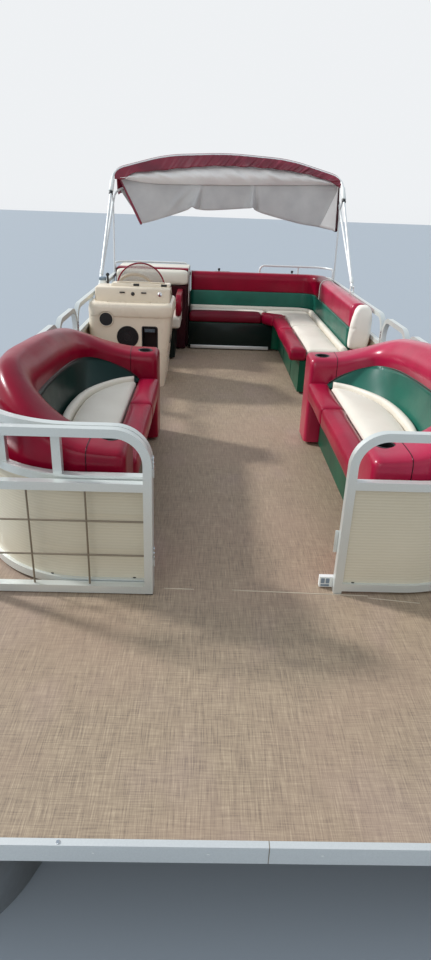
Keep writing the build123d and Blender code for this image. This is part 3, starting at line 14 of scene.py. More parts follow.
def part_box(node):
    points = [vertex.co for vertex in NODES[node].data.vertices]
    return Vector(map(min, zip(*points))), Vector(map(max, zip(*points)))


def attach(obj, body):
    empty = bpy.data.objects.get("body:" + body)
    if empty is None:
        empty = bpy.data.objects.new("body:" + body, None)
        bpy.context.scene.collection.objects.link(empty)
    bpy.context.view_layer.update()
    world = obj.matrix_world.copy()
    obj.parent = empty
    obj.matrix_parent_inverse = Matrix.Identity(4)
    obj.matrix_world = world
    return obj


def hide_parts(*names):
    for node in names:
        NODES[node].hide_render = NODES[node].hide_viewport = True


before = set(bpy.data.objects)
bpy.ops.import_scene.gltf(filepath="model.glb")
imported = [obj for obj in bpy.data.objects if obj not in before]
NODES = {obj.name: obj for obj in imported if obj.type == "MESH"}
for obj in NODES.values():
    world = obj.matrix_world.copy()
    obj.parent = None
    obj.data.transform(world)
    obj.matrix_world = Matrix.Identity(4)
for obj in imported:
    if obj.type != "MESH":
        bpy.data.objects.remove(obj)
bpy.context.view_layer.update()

FOREDECK = 1.13
DECK_LOW, DECK_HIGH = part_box("deck")
DECK_Z = DECK_HIGH.z
FENCE_Y = DECK_LOW.y + FOREDECK
WATERLINE = 0.325
SIDES = (("port", 1), ("starboard", -1))


def at(x, y, z):
    """A deck frame point in the row frame."""
    return Vector((x, y + FENCE_Y, z + DECK_Z))


# Camera, fitted to the photograph
CAMERA_AT = (-0.195, -2.203, 1.551)
CAMERA_YAW = math.radians(1.42)
CAMERA_PITCH = math.radians(23.87)
CAMERA_ROLL = math.radians(2.13)
PHOTO_HEIGHT = 960
FOCAL_PIXELS = 612.6
CENTRE_RISE_PIXELS = 13.5
SENSOR = 36.0
CLIP_END = 400


def make_camera():
    data = bpy.data.cameras.new("camera")
    camera = bpy.data.objects.new("camera", data)
    bpy.context.scene.collection.objects.link(camera)
    forward = Vector((math.sin(CAMERA_YAW) * math.cos(CAMERA_PITCH),
                      math.cos(CAMERA_YAW) * math.cos(CAMERA_PITCH), -math.sin(CAMERA_PITCH)))
    level_right = Vector((math.cos(CAMERA_YAW), -math.sin(CAMERA_YAW), 0))
    level_up = level_right.cross(forward)
    right = math.cos(CAMERA_ROLL) * level_right + math.sin(CAMERA_ROLL) * level_up
    up = math.cos(CAMERA_ROLL) * level_up - math.sin(CAMERA_ROLL) * level_right
    turn = Matrix((right, up, -forward)).transposed()
    camera.matrix_world = Matrix.Translation(at(*CAMERA_AT)) @ turn.to_4x4()
    data.sensor_width = SENSOR
    data.lens = SENSOR * FOCAL_PIXELS / PHOTO_HEIGHT
    data.shift_y = -CENTRE_RISE_PIXELS / PHOTO_HEIGHT
    data.clip_end = CLIP_END
    bpy.context.scene.camera = camera


make_camera()


# Material building blocks
def srgb(red, green, blue):
    """A colour read from 0 to 255 as the shader's linear values."""
    values = []
    for channel in (red, green, blue):
        share = channel / 255
        values.append(share / 12.92 if share <= 0.04045 else ((share + 0.055) / 1.055) ** 2.4)
    return (*values, 1.0)


def colour_ramp(tree, source, stops):
    """Colours by a value: stops are (position, colour)."""
    node = tree.nodes.new("ShaderNodeValToRGB")
    elements = node.color_ramp.elements
    while len(elements) < len(stops):
        elements.new(0.5)
    for element, (position, colour) in zip(elements, stops):
        element.position = position
        element.color = colour
    tree.links.new(source, node.inputs["Fac"])
    return node.outputs["Color"]


class Shader:
    """A node material under construction: a Principled shader and the textures that feed it."""

    def __init__(self, name, rough, metal=0.0, coat=0.0, sheen=0.0):
        self.material = bpy.data.materials.new(name)
        self.material.use_nodes = True
        self.tree = self.material.node_tree
        self.shader = self.tree.nodes["Principled BSDF"]
        self.shader.inputs["Roughness"].default_value = rough
        self.shader.inputs["Metallic"].default_value = metal
        self.shader.inputs["Coat Weight"].default_value = coat
        self.shader.inputs["Coat Roughness"].default_value = 0.25
        self.shader.inputs["Sheen Weight"].default_value = sheen
        self.place = self.new("ShaderNodeTexCoord").outputs["Object"]
        self.bump_from = None

    def new(self, kind, **values):
        node = self.tree.nodes.new(kind)
        for key, value in values.items():
            setattr(node, key, value)
        return node

    def link(self, source, target):
        self.tree.links.new(source, target)

    def scaled(self, scale):
        """The object's own coordinates, stretched."""
        mapping = self.new("ShaderNodeMapping")
        mapping.inputs["Scale"].default_value = scale
        self.link(self.place, mapping.inputs["Vector"])
        return mapping.outputs["Vector"]

    def noise(self, scale, stretch=(1, 1, 1), detail=3.0, rough=0.5):
        node = self.new("ShaderNodeTexNoise")
        node.inputs["Scale"].default_value = scale
        node.inputs["Detail"].default_value = detail
        node.inputs["Roughness"].default_value = rough
        self.link(self.scaled(stretch), node.inputs["Vector"])
        return node.outputs["Fac"]

    def grain(self, scale):
        """Leather grain: small cells."""
        node = self.new("ShaderNodeTexVoronoi")
        node.feature = "DISTANCE_TO_EDGE"
        node.inputs["Scale"].default_value = scale
        self.link(self.scaled((1, 1, 1)), node.inputs["Vector"])
        return node.outputs["Distance"]

    def lines(self, direction, pitch):
        """Parallel lines that follow each other along one axis, one for each pitch."""
        node = self.new("ShaderNodeTexWave")
        node.wave_type = "BANDS"
        node.bands_direction = direction
        node.wave_profile = "SIN"
        node.inputs["Scale"].default_value = math.pi / (10 * pitch)
        node.inputs["Distortion"].default_value = 0.0
        self.link(self.place, node.inputs["Vector"])
        return node.outputs["Fac"]

    def math(self, operation, first, second):
        node = self.new("ShaderNodeMath", operation=operation)
        for socket, value in zip(node.inputs, (first, second)):
            if isinstance(value, (int, float)):
                socket.default_value = value
            else:
                self.link(value, socket)
        return node.outputs[0]

    def ramp(self, source, stops):
        return colour_ramp(self.tree, source, stops)

    def mix(self, share, first, second):
        """second over first by share, which is a number or a texture."""
        node = self.new("ShaderNodeMix", data_type="RGBA")
        for socket, value in ((node.inputs[0], share), (node.inputs[6], first), (node.inputs[7], second)):
            if isinstance(value, (int, float, tuple)):
                socket.default_value = value
            else:
                self.link(value, socket)
        return node.outputs[2]

    def colour(self, value):
        socket = self.shader.inputs["Base Color"]
        if isinstance(value, tuple):
            socket.default_value = value
        else:
            self.link(value, socket)

    def rough(self, source, low, high):
        node = self.new("ShaderNodeMapRange")
        node.inputs["To Min"].default_value = low
        node.inputs["To Max"].default_value = high
        self.link(source, node.inputs["Value"])
        self.link(node.outputs["Result"], self.shader.inputs["Roughness"])

    def bump(self, source, height, strength=1.0):
        """Relief: height is the depth in metres between the texture's 0 and 1."""
        node = self.new("ShaderNodeBump")
        node.inputs["Strength"].default_value = strength
        node.inputs["Distance"].default_value = height
        self.link(source, node.inputs["Height"])
        if self.bump_from is not None:
            self.link(self.bump_from, node.inputs["Normal"])
        self.bump_from = node.outputs["Normal"]
        self.link(self.bump_from, self.shader.inputs["Normal"])


def vinyl(name, lit, deep, rough=0.34, coat=0.25, sheen=0.12, gloss=0.14):
    """Marine vinyl: fine grain, slow change of tone, faint wrinkles."""
    s = Shader(name, rough, coat=coat, sheen=sheen)
    s.shader.inputs["Specular IOR Level"].default_value = 0.14
    s.shader.inputs["Coat Roughness"].default_value = gloss
    slow = s.noise(3.0, detail=4.0)
    s.colour(s.ramp(slow, [(0.3, deep), (0.72, lit)]))
    s.rough(s.noise(9.0, detail=5.0), rough - 0.06, rough + 0.12)
    s.bump(s.grain(650.0), 0.00012, 0.6)
    s.bump(s.noise(22.0, detail=3.0), 0.0012, 0.5)
    return s.material


def metal(name, colour, rough, metallic, stretch=(1, 1, 1), scratches=260.0, dirt=None):
    """Bare or painted metal: fine marks, drawn out along an axis by stretch, and slow change of gloss."""
    s = Shader(name, rough, metal=metallic)
    slow = s.noise(4.0, detail=5.0)
    lines = s.noise(scratches, stretch, detail=2.0)
    darker = tuple(0.86 * c for c in colour[:3]) + (1.0,)
    tone = s.mix(lines, darker, colour)
    if dirt is not None:
        tone = s.mix(s.ramp(slow, [(0.5, (0, 0, 0, 1)), (0.75, (0.5, 0.5, 0.5, 1))]), tone, dirt)
    s.colour(tone)
    s.rough(slow, rough - 0.08, rough + 0.12)
    s.bump(lines, 0.00008, 0.4)
    return s.material


def plastic(name, colour, rough, texture=420.0, height=0.00012):
    """Moulded plastic with a light texture."""
    s = Shader(name, rough)
    slow = s.noise(6.0, detail=4.0)
    lighter = tuple(min(1.0, 1.12 * c + 0.004) for c in colour[:3]) + (1.0,)
    s.colour(s.mix(slow, colour, lighter))
    s.rough(slow, rough - 0.05, rough + 0.1)
    s.bump(s.noise(texture, detail=2.0), height, 0.6)
    return s.material


def deck_vinyl():
    """Woven vinyl sheet: light and dark threads both ways, with faded patches."""
    s = Shader("deck_vinyl", 0.62)
    along = s.noise(1.0, (300, 11, 1), detail=3.0, rough=0.6)
    across = s.noise(1.0, (14, 260, 1), detail=3.0, rough=0.6)
    weave = s.math("ADD", s.math("MULTIPLY", along, 0.58), s.math("MULTIPLY", across, 0.42))
    threads = s.ramp(weave,
                     [(0.36, srgb(122, 106, 90)), (0.47, srgb(150, 131, 110)), (0.54, srgb(160, 141, 118)),
                      (0.66, srgb(182, 162, 137))])
    patches = s.ramp(s.noise(1.6, detail=5.0), [(0.42, (0, 0, 0, 1)), (0.7, (0.35, 0.35, 0.35, 1))])
    faded = s.mix(patches, threads, srgb(168, 140, 122))
    stains = s.ramp(s.noise(7.0, detail=6.0), [(0.62, (0, 0, 0, 1)), (0.8, (0.3, 0.3, 0.3, 1))])
    marked = s.mix(stains, faded, srgb(122, 106, 96))
    specks = s.ramp(s.noise(46.0, detail=3.0), [(0.73, (0, 0, 0, 1)), (0.79, (0.45, 0.45, 0.45, 1))])
    tinted = s.ramp(s.noise(3.1, (1, 0.6, 1), detail=2.0),
                    [(0.52, (0, 0, 0, 1)), (0.75, (0.22, 0.22, 0.22, 1))])
    s.colour(s.mix(specks, s.mix(tinted, marked, srgb(176, 150, 146)), srgb(84, 70, 60)))
    s.rough(weave, 0.5, 0.72)
    s.bump(weave, 0.0009, 0.7)
    return s.material


def fence_sheet():
    """Cream coated sheet with fine level ribs."""
    s = Shader("fence_sheet", 0.42)
    ribs = s.lines("Z", 0.0135)
    slow = s.noise(2.5, detail=4.0)
    base = s.mix(slow, srgb(206, 196, 172), srgb(226, 217, 196))
    s.colour(s.mix(s.math("MULTIPLY", ribs, 0.16), base, srgb(176, 164, 138)))
    s.rough(slow, 0.34, 0.5)
    s.bump(ribs, 0.0009, 0.55)
    s.bump(s.noise(5.0, (1, 1, 0.3), detail=2.0), 0.004, 0.25)
    return s.material


def canvas(name, lit, deep, rough=0.85, coat=0.0):
    """Woven acrylic cloth."""
    s = Shader(name, rough, coat=coat, sheen=0.1)
    slow = s.noise(5.0, detail=5.0)
    weave = s.math("ADD", s.noise(1.0, (900, 900, 60), detail=1.0), s.noise(1.0, (900, 900, 900), detail=1.0))
    base = s.ramp(slow, [(0.3, deep), (0.7, lit)])
    s.colour(s.mix(s.math("MULTIPLY", weave, 0.12), base, deep))
    s.bump(weave, 0.0003, 0.5)
    s.bump(s.noise(14.0, detail=3.0), 0.004, 0.5)
    return s.material


def smoked():
    s = Shader("smoked_acrylic", 0.08, coat=0.3)
    s.colour(s.mix(s.noise(3.0), srgb(176, 170, 166), srgb(196, 190, 184)))
    s.shader.inputs["Transmission Weight"].default_value = 0.6
    s.shader.inputs["IOR"].default_value = 1.1
    s.shader.inputs["Alpha"].default_value = 0.45
    s.bump(s.noise(30.0), 0.0002, 0.2)
    return s.material


LOOKS = {
    "burgundy": vinyl("burgundy_vinyl", srgb(152, 6, 44), srgb(122, 4, 34), rough=0.3, coat=0.2, sheen=0.0,
                      gloss=0.18),
    # A lighter, glossier copy of the burgundy vinyl: painted sunlight on the port pieces that face the key
    # lamp.
    "burgundy_painted_sunlit": vinyl("burgundy_painted_sunlit", srgb(190, 40, 80), srgb(164, 20, 58), rough=0.3, coat=0.6,
                          sheen=0.0, gloss=0.27),
    # A near-black copy of the green vinyl: painted shade on the starboard back panel.
    "green_painted_shade": vinyl("green_painted_shade", srgb(2, 48, 40), srgb(1, 32, 28), rough=0.34, coat=0.2, sheen=0.0),
    # A lighter copy of the green vinyl: painted sunlight on the port back panel and the aft panels.
    "green_sun": vinyl("green_sun", srgb(34, 108, 90), srgb(20, 84, 70), rough=0.34, coat=0.4, sheen=0.0,
                       gloss=0.25),
    # A darker copy of the burgundy vinyl: painted shade on the stern strip.
    "burgundy_painted_shade": vinyl("burgundy_painted_shade", srgb(112, 6, 34), srgb(90, 5, 26), rough=0.34, coat=0.2,
                            sheen=0.0),
    "burgundy_strip": vinyl("burgundy_strip", srgb(160, 12, 52), srgb(132, 8, 42), rough=0.32, coat=0.2,
                            sheen=0.0),
    # Dark burgundy: the real colour of the seams and welts, and painted shade on the helm back and on the sun
    # top's port binding.
    "burgundy_dark": vinyl("burgundy_dark", srgb(64, 6, 22), srgb(46, 5, 18), rough=0.3, sheen=0.0),
    "white_piping": vinyl("white_piping", srgb(236, 232, 224), srgb(226, 221, 210), rough=0.4, coat=0.1),
    "cream": vinyl("cream_vinyl", srgb(232, 226, 212), srgb(221, 213, 198), rough=0.42, coat=0.1, sheen=0.05),
    "green": vinyl("green_vinyl", srgb(4, 74, 60), srgb(2, 52, 44), rough=0.32, coat=0.18, sheen=0.0),
    "plinth_green": vinyl("plinth_green", srgb(6, 84, 60), srgb(4, 64, 46), rough=0.38, coat=0.15,
                          sheen=0.02),
    # Near-black green: painted shade on the helm base and on the front of the stern base.
    "shadow_green": vinyl("shadow_green", srgb(16, 32, 28), srgb(10, 22, 20), rough=0.4, sheen=0.0),
    "deck": deck_vinyl(),
    "rail": metal("rail_white", srgb(226, 230, 226), 0.34, 0.45, (1, 1, 1)),
    "panel": fence_sheet(),
    "trim": metal("deck_trim", srgb(226, 228, 226), 0.38, 0.5),
    "tube": metal("tube_aluminium", srgb(170, 172, 174), 0.44, 0.8, (1, 0.02, 1), 160.0, srgb(126, 122, 110)),
    "frame": metal("frame_aluminium", srgb(172, 174, 176), 0.45, 0.8, (0.03, 1, 1), 160.0,
                   srgb(120, 116, 108)),
    "gelcoat": plastic("gelcoat", srgb(227, 213, 191), 0.26, 60.0, 0.0002),
    # A darker copy of the gelcoat: painted shade along the lid's tray outline.
    "gelcoat_shade": plastic("gelcoat_shade", srgb(196, 178, 152), 0.34, 60.0, 0.0002),
    "black": plastic("black_plastic", srgb(18, 18, 19), 0.38),
    "grey": plastic("grey_plastic", srgb(120, 134, 146), 0.4),
    "white_plastic": plastic("white_plastic", srgb(228, 230, 226), 0.4),
    "wheel": plastic("wheel_beige", srgb(196, 180, 154), 0.42),
    "bow": metal("bow_white", srgb(238, 240, 238), 0.32, 0.12, (1, 1, 0.05)),
    "smoked": smoked(),
    "canvas_red": canvas("canvas_burgundy", srgb(146, 14, 50), srgb(108, 8, 36), rough=0.38, coat=0.4),
    "canvas_pale": canvas("canvas_pale", srgb(248, 244, 238), srgb(232, 226, 220)),
    # A brighter copy of the pale canvas: painted light on the sun top's fold and flap.
    "canvas_painted_lit": canvas("canvas_painted_lit", srgb(255, 252, 248), srgb(246, 242, 238), rough=0.6, coat=0.2),
    # A darker copy of the pale canvas: painted shade on the sun top's hanging loop.
    "canvas_painted_shade": canvas("canvas_painted_shade", srgb(210, 207, 204), srgb(190, 187, 186)),
    "enamel": metal("motor_enamel", srgb(44, 46, 50), 0.26, 0.3),
    "casting": metal("motor_casting", srgb(88, 90, 94), 0.5, 0.6),
    "propeller": metal("propeller_alloy", srgb(150, 152, 154), 0.4, 0.85),
    "chrome": metal("chrome", srgb(222, 224, 226), 0.12, 1.0),
    "rod": metal("rod_brown_grey", srgb(138, 126, 108), 0.4, 0.4),
    "bead": plastic("deck_bead", srgb(206, 192, 170), 0.5),
    # A brighter copy of the cream vinyl: painted light on the end cap.
    "cap_cream": vinyl("cap_cream", srgb(254, 250, 240), srgb(246, 240, 228), rough=0.38, coat=0.2,
                       sheen=0.05),
}

NODE_LOOKS = {
    "deck": "deck", "deck_trim": "trim", "fence_panels": "panel", "gate_catches": "white_plastic",
    "pontoon_port": "tube", "pontoon_starboard": "tube", "motor_pod": "tube",
    "tube_risers": "frame", "cross_members": "frame", "transom_bracket": "casting",
    "swivel_bracket": "casting", "drive_leg": "enamel", "engine_cowl": "enamel", "lower_unit": "enamel",
    "propeller": "propeller", "stern_rails": "bow", "console_body": "gelcoat", "console_top": "gelcoat",
    "console_cubby": "black", "console_speaker": "black", "windscreen": "smoked", "throttle": "black",
    "steering_column": "black", "steering_wheel": "wheel", "top_mounts": "white_plastic", "top_bows": "bow",
    "top_braces": "bow", "top_cloth": "canvas_pale", "aft_lounge_base": "plinth_green",
    "aft_lounge_seat": "cream", "aft_lounge_back_panel": "green", "aft_lounge_bolster": "burgundy",
    # The helm base in shadow green and the helm back in dark burgundy are painted shade.
    "aft_lounge_end_cap": "cream", "helm_base": "shadow_green", "helm_seat": "cream",
    "helm_back": "burgundy_dark", "helm_roll": "cream", "helm_arm": "burgundy", "gate_front": "rail",
    "gate_port": "rail", "gate_starboard": "rail",
}
for side, _ in SIDES:
    NODE_LOOKS[f"fence_front_{side}"] = "rail"
    NODE_LOOKS[f"fence_aft_{side}"] = "rail"
    NODE_LOOKS[f"lounge_bolster_{side}"] = "burgundy"
    NODE_LOOKS[f"lounge_base_{side}"] = "plinth_green"
    NODE_LOOKS[f"lounge_seat_{side}"] = "cream"
    NODE_LOOKS[f"lounge_back_panel_{side}"] = "green"
for node, look in NODE_LOOKS.items():
    mesh = NODES[node].data
    mesh.materials.clear()
    mesh.materials.append(LOOKS[look])


# Mesh building blocks
def finish_piece(obj, body, replaces=()):
    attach(obj, body)
    if replaces:
        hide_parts(*replaces)
    return obj


def new_mesh(name, points, faces, look, smooth=True, angle=None):
    """A mesh object from points in the row frame."""
    mesh = bpy.data.meshes.new(name)
    mesh.from_pydata([tuple(p) for p in points], [], [tuple(f) for f in faces])
    mesh.materials.append(LOOKS[look])
    mesh.validate()
    mesh.polygons.foreach_set("use_smooth", [smooth] * len(mesh.polygons))
    obj = bpy.data.objects.new(name, mesh)
    bpy.context.scene.collection.objects.link(obj)
    if angle is not None:
        mesh.set_sharp_from_angle(angle=math.radians(angle))
    return obj


def skin(rings, closed_rings=True, caps=True, closed_path=False):
    """Faces over rows of points that all have the same count. Returns points and faces."""
    count, width = len(rings), len(rings[0])
    points = [p for ring in rings for p in ring]
    faces = []
    rows = count if closed_path else count - 1
    columns = width if closed_rings else width - 1
    for i in range(rows):
        for j in range(columns):
            a, b = i * width + j, i * width + (j + 1) % width
            c, d = ((i + 1) % count) * width + (j + 1) % width, ((i + 1) % count) * width + j
            faces.append((a, b, c, d))
    if caps and closed_rings and not closed_path:
        faces.append(tuple(reversed(range(width))))
        faces.append(tuple((count - 1) * width + j for j in range(width)))
    return points, faces


def turned_out(obj):
    """Makes the normals of a closed mesh point outward."""
    work = bmesh.new()
    work.from_mesh(obj.data)
    bmesh.ops.recalc_face_normals(work, faces=work.faces)
    work.to_mesh(obj.data)
    work.free()
    return obj


def smooth_path(points, count):
    """A Catmull-Rom curve through rows of numbers, sampled evenly along its length."""
    rows = np.array(points, float)
    ends = np.vstack([2 * rows[0] - rows[1], rows, 2 * rows[-1] - rows[-2]])
    fine = []
    steps = 24
    for k in range(1, len(ends) - 2):
        a, b, c, d = ends[k - 1], ends[k], ends[k + 1], ends[k + 2]
        for s in range(steps):
            t = s / steps
            fine.append(0.5 * (2 * b + (c - a) * t + (2 * a - 5 * b + 4 * c - d) * t * t
                               + (3 * b - a - 3 * c + d) * t ** 3))
    fine.append(rows[-1])
    fine = np.array(fine)
    return even(fine, count)


def even(fine, count):
    """Rows along a polyline, spaced evenly by the length over their first three numbers."""
    gaps = np.linalg.norm(np.diff(fine[:, :3], axis=0), axis=1)
    run = np.concatenate([[0], np.cumsum(gaps)])
    wanted = np.linspace(0, run[-1], count)
    return np.array([[np.interp(w, run, fine[:, k]) for k in range(fine.shape[1])] for w in wanted])


def tube(name, points, radius, look, closed=False, sides=10):
    """A round tube along points in the row frame."""
    path = [Vector(p) for p in points]
    count = len(path)
    rings = []
    previous = None
    for i, p in enumerate(path):
        ahead = path[(i + 1) % count] if closed or i + 1 < count else path[i]
        behind = path[i - 1] if closed or i > 0 else path[i]
        tangent = (ahead - behind).normalized()
        if previous is None:
            previous = tangent.orthogonal().normalized()
        across = (previous - tangent * previous.dot(tangent)).normalized()
        previous = across
        up = tangent.cross(across)
        size = radius(i / max(1, count - 1)) if callable(radius) else radius
        rings.append([p + size * (math.cos(2 * math.pi * k / sides) * across
                                  + math.sin(2 * math.pi * k / sides) * up) for k in range(sides)])
    return turned_out(new_mesh(name, *skin(rings, closed_path=closed), look))


def joined(name, objs):
    """Several mesh objects as one."""
    bpy.ops.object.select_all(action="DESELECT")
    for obj in objs:
        obj.select_set(True)
    bpy.context.view_layer.objects.active = objs[0]
    if len(objs) > 1:
        bpy.ops.object.join()
    objs[0].name = name
    objs[0].data.name = name
    return objs[0]


def mirrored(obj, name):
    """A copy on the other side of the boat."""
    mesh = obj.data.copy()
    mesh.transform(Matrix.Scale(-1, 4, (1, 0, 0)))
    mesh.flip_normals()
    copy = bpy.data.objects.new(name, mesh)
    bpy.context.scene.collection.objects.link(copy)
    return copy


def apply_modifiers(obj):
    bpy.context.view_layer.objects.active = obj
    for modifier in list(obj.modifiers):
        bpy.ops.object.modifier_apply(modifier=modifier.name)


def both_sides(obj, body, node=None):
    """Port piece and its starboard copy. node is the CAD node that they stand for, without its side."""
    base = obj.name
    obj.name = f"{base}_port"
    other = mirrored(obj, f"{base}_starboard")
    finish_piece(obj, body, (f"{node}_port",) if node else ())
    finish_piece(other, body, (f"{node}_starboard",) if node else ())
    return obj, other


def rounded(corners, steps=4):
    """A closed outline from (u, v, radius) corners, each one a short curve. The point count is fixed."""
    outline = []
    count = len(corners)
    for i, (u, v, radius) in enumerate(corners):
        here = np.array((u, v), float)
        before = np.array(corners[i - 1][:2], float) - here
        after = np.array(corners[(i + 1) % count][:2], float) - here
        la, lb = np.linalg.norm(before), np.linalg.norm(after)
        half = math.acos(max(-1.0, min(1.0, float(before @ after) / (la * lb)))) / 2
        reach = min(radius / max(0.05, math.tan(half)), 0.48 * la, 0.48 * lb)
        start, end = here + before / la * reach, here + after / lb * reach
        for k in range(steps + 1):
            s = k / steps
            outline.append((1 - s) ** 2 * start + 2 * s * (1 - s) * here + s * s * end)
    return outline


def resampled(outline, pitch):
    """A closed outline with points about one pitch apart."""
    ring = np.array([list(p) for p in outline] + [list(outline[0])])
    run = np.concatenate([[0], np.cumsum(np.linalg.norm(np.diff(ring, axis=0), axis=1))])
    count = max(12, int(run[-1] / pitch))
    wanted = np.linspace(0, run[-1], count, endpoint=False)
    return np.stack([np.interp(wanted, run, ring[:, k]) for k in range(ring.shape[1])], axis=1)


def inward(outline):
    """Unit vectors into a closed outline in plan."""
    ahead = np.roll(outline, -1, axis=0) - np.roll(outline, 1, axis=0)
    normal = np.stack([-ahead[:, 1], ahead[:, 0]], axis=1)
    normal /= np.linalg.norm(normal, axis=1)[:, None]
    area = np.sum(outline[:, 0] * np.roll(outline[:, 1], -1) - np.roll(outline[:, 0], -1) * outline[:, 1])
    return normal if area > 0 else -normal


def pad(name, plan, z0, z1, look, edge=0.024, foot=0.010, crown=0.005, pinch=0.002, pitch=0.014):
    """A padded block over a plan outline in the deck frame, with rounded edges and a crowned top."""
    outline = resampled(plan, pitch)
    normal = inward(outline)
    centre = outline.mean(axis=0)
    rows = [(foot, z0), (foot * 0.3, z0 + foot * 0.3), (0, z0 + foot)]
    low, high = z0 + foot, z1 - edge
    for k in range(1, 4):
        rows.append((pinch * math.sin(math.pi * k / 4), low + (high - low) * k / 4))
    for k in range(6):
        turn = math.pi / 2 * k / 5
        rows.append((edge * (1 - math.cos(turn)), high + edge * math.sin(turn)))
    rings = [[at(*(p + n * inset), z) for p, n in zip(outline, normal)] for inset, z in rows]
    last = outline + normal * edge
    levels = 6
    for k in range(1, levels):
        share = k / levels
        ring = centre + (last - centre) * (1 - share)
        rings.append([at(*p, z1 + crown * (1 - (1 - share) ** 2)) for p in ring])
    return turned_out(new_mesh(name, *skin(rings), look))


def rectangle(x0, x1, y0, y1, radius=0.018):
    return rounded([(x0, y0, radius), (x1, y0, radius), (x1, y1, radius), (x0, y1, radius)])


def swept(name, path, section, look):
    """A form along a path: path rows are (inner x, y, outer x, y), section(k) lists (across m, z)."""
    rings = []
    for k, (ix, iy, ox, oy) in enumerate(path):
        a, b = np.array((ix, iy)), np.array((ox, oy))
        across = (b - a) / max(1e-6, np.linalg.norm(b - a))
        rings.append([at(*(a + across * u), z) for u, z in section(k)])
    return turned_out(new_mesh(name, *skin(rings), look))


def bent(points, radii, steps=10):
    """Straight runs joined by arcs. The arcs are closely spaced points."""
    rows = [np.array(p, float) for p in points]
    result = [rows[0]]
    for i in range(1, len(rows) - 1):
        here, before, after = rows[i], rows[i - 1] - rows[i], rows[i + 1] - rows[i]
        la, lb = np.linalg.norm(before), np.linalg.norm(after)
        half = math.acos(max(-1, min(1, float(before @ after) / (la * lb)))) / 2
        reach = min(radii[i - 1] / math.tan(half), 0.49 * la, 0.49 * lb)
        start, end = here + before / la * reach, here + after / lb * reach
        for k in range(steps + 1):
            s = k / steps
            w = abs(math.cos(half + math.pi / 2))
            bottom = (1 - s) ** 2 + 2 * w * s * (1 - s) + s * s
            result.append(((1 - s) ** 2 * start + 2 * w * s * (1 - s) * here + s * s * end) / bottom)
    result.append(rows[-1])
    return np.array(result)


def puffed(obj, cap, voxel=0.011, pressure=3.0, frames=18):
    """Swells a padded piece with a short cloth simulation and keeps each point within cap of its start."""
    mesh = obj.data
    look = mesh.materials[0]
    remesh = obj.modifiers.new("remesh", "REMESH")
    remesh.mode = "VOXEL"
    remesh.voxel_size = voxel
    remesh.use_smooth_shade = True
    apply_modifiers(obj)
    start = np.empty(len(obj.data.vertices) * 3)
    obj.data.vertices.foreach_get("co", start)
    cloth = obj.modifiers.new("cloth", "CLOTH")
    settings = cloth.settings
    settings.use_pressure = True
    settings.uniform_pressure_force = pressure
    settings.effector_weights.gravity = 0
    settings.quality = 4
    settings.tension_stiffness = 20
    settings.compression_stiffness = 12
    settings.bending_stiffness = 1.5
    cloth.point_cache.frame_start = 1
    cloth.point_cache.frame_end = frames
    scene = bpy.context.scene
    for number in range(1, frames + 1):
        scene.frame_set(number)
    apply_modifiers(obj)
    scene.frame_set(1)
    end = np.empty(len(start))
    obj.data.vertices.foreach_get("co", end)
    move = (end - start).reshape(-1, 3)
    length = np.linalg.norm(move, axis=1)
    share = np.minimum(1.0, cap / np.maximum(length, 1e-9))
    obj.data.vertices.foreach_set("co", (start.reshape(-1, 3) + move * share[:, None]).ravel())
    obj.data.materials.clear()
    obj.data.materials.append(look)
    return obj


def bored(obj, cutters):
    """Cuts the cutters' forms out of a mesh and removes the cutters."""
    for cutter in cutters:
        cut = obj.modifiers.new("cut", "BOOLEAN")
        cut.operation = "DIFFERENCE"
        cut.solver = "EXACT"
        cut.object = cutter
    apply_modifiers(obj)
    for cutter in cutters:
        bpy.data.objects.remove(cutter)
    return obj


def drum(name, centre, axis, radius, length, look, sides=32, edge=0.0):
    """A round bar with slightly broken edges. centre is its first end in the deck frame, axis a direction."""
    steps = [(0, radius - edge), (edge, radius), (length - edge, radius), (length, radius - edge)]
    return turned(name, centre, axis, steps, look, sides)


def turned(name, centre, axis, profile, look, sides=32):
    """A turned form: profile lists (along, radius) from the centre point. Its ends are capped."""
    base = at(*centre)
    direction = Vector(axis).normalized()
    across = direction.orthogonal().normalized()
    up = direction.cross(across)
    rings = []
    for along, radius in profile:
        size = max(radius, 0.0004)
        rings.append([base + direction * along + size * (math.cos(2 * math.pi * k / sides) * across
                                                         + math.sin(2 * math.pi * k / sides) * up)
                      for k in range(sides)])
    return turned_out(new_mesh(name, *skin(rings), look, angle=35))


def box(name, x0, x1, y0, y1, z0, z1, look, edge=0.004, steps=2):
    """A box with rounded edges, in the deck frame."""
    work = bmesh.new()
    bmesh.ops.create_cube(work, size=1.0)
    for vertex in work.verts:
        vertex.co = at(x0 + (vertex.co.x + 0.5) * (x1 - x0), y0 + (vertex.co.y + 0.5) * (y1 - y0),
                       z0 + (vertex.co.z + 0.5) * (z1 - z0))
    if edge:
        bmesh.ops.bevel(work, geom=work.edges[:], offset=edge, segments=steps, affect="EDGES", profile=0.5)
    mesh = bpy.data.meshes.new(name)
    work.to_mesh(mesh)
    work.free()
    mesh.materials.append(LOOKS[look])
    mesh.polygons.foreach_set("use_smooth", [True] * len(mesh.polygons))
    mesh.set_sharp_from_angle(angle=math.radians(50))
    obj = bpy.data.objects.new(name, mesh)
    bpy.context.scene.collection.objects.link(obj)
    return obj


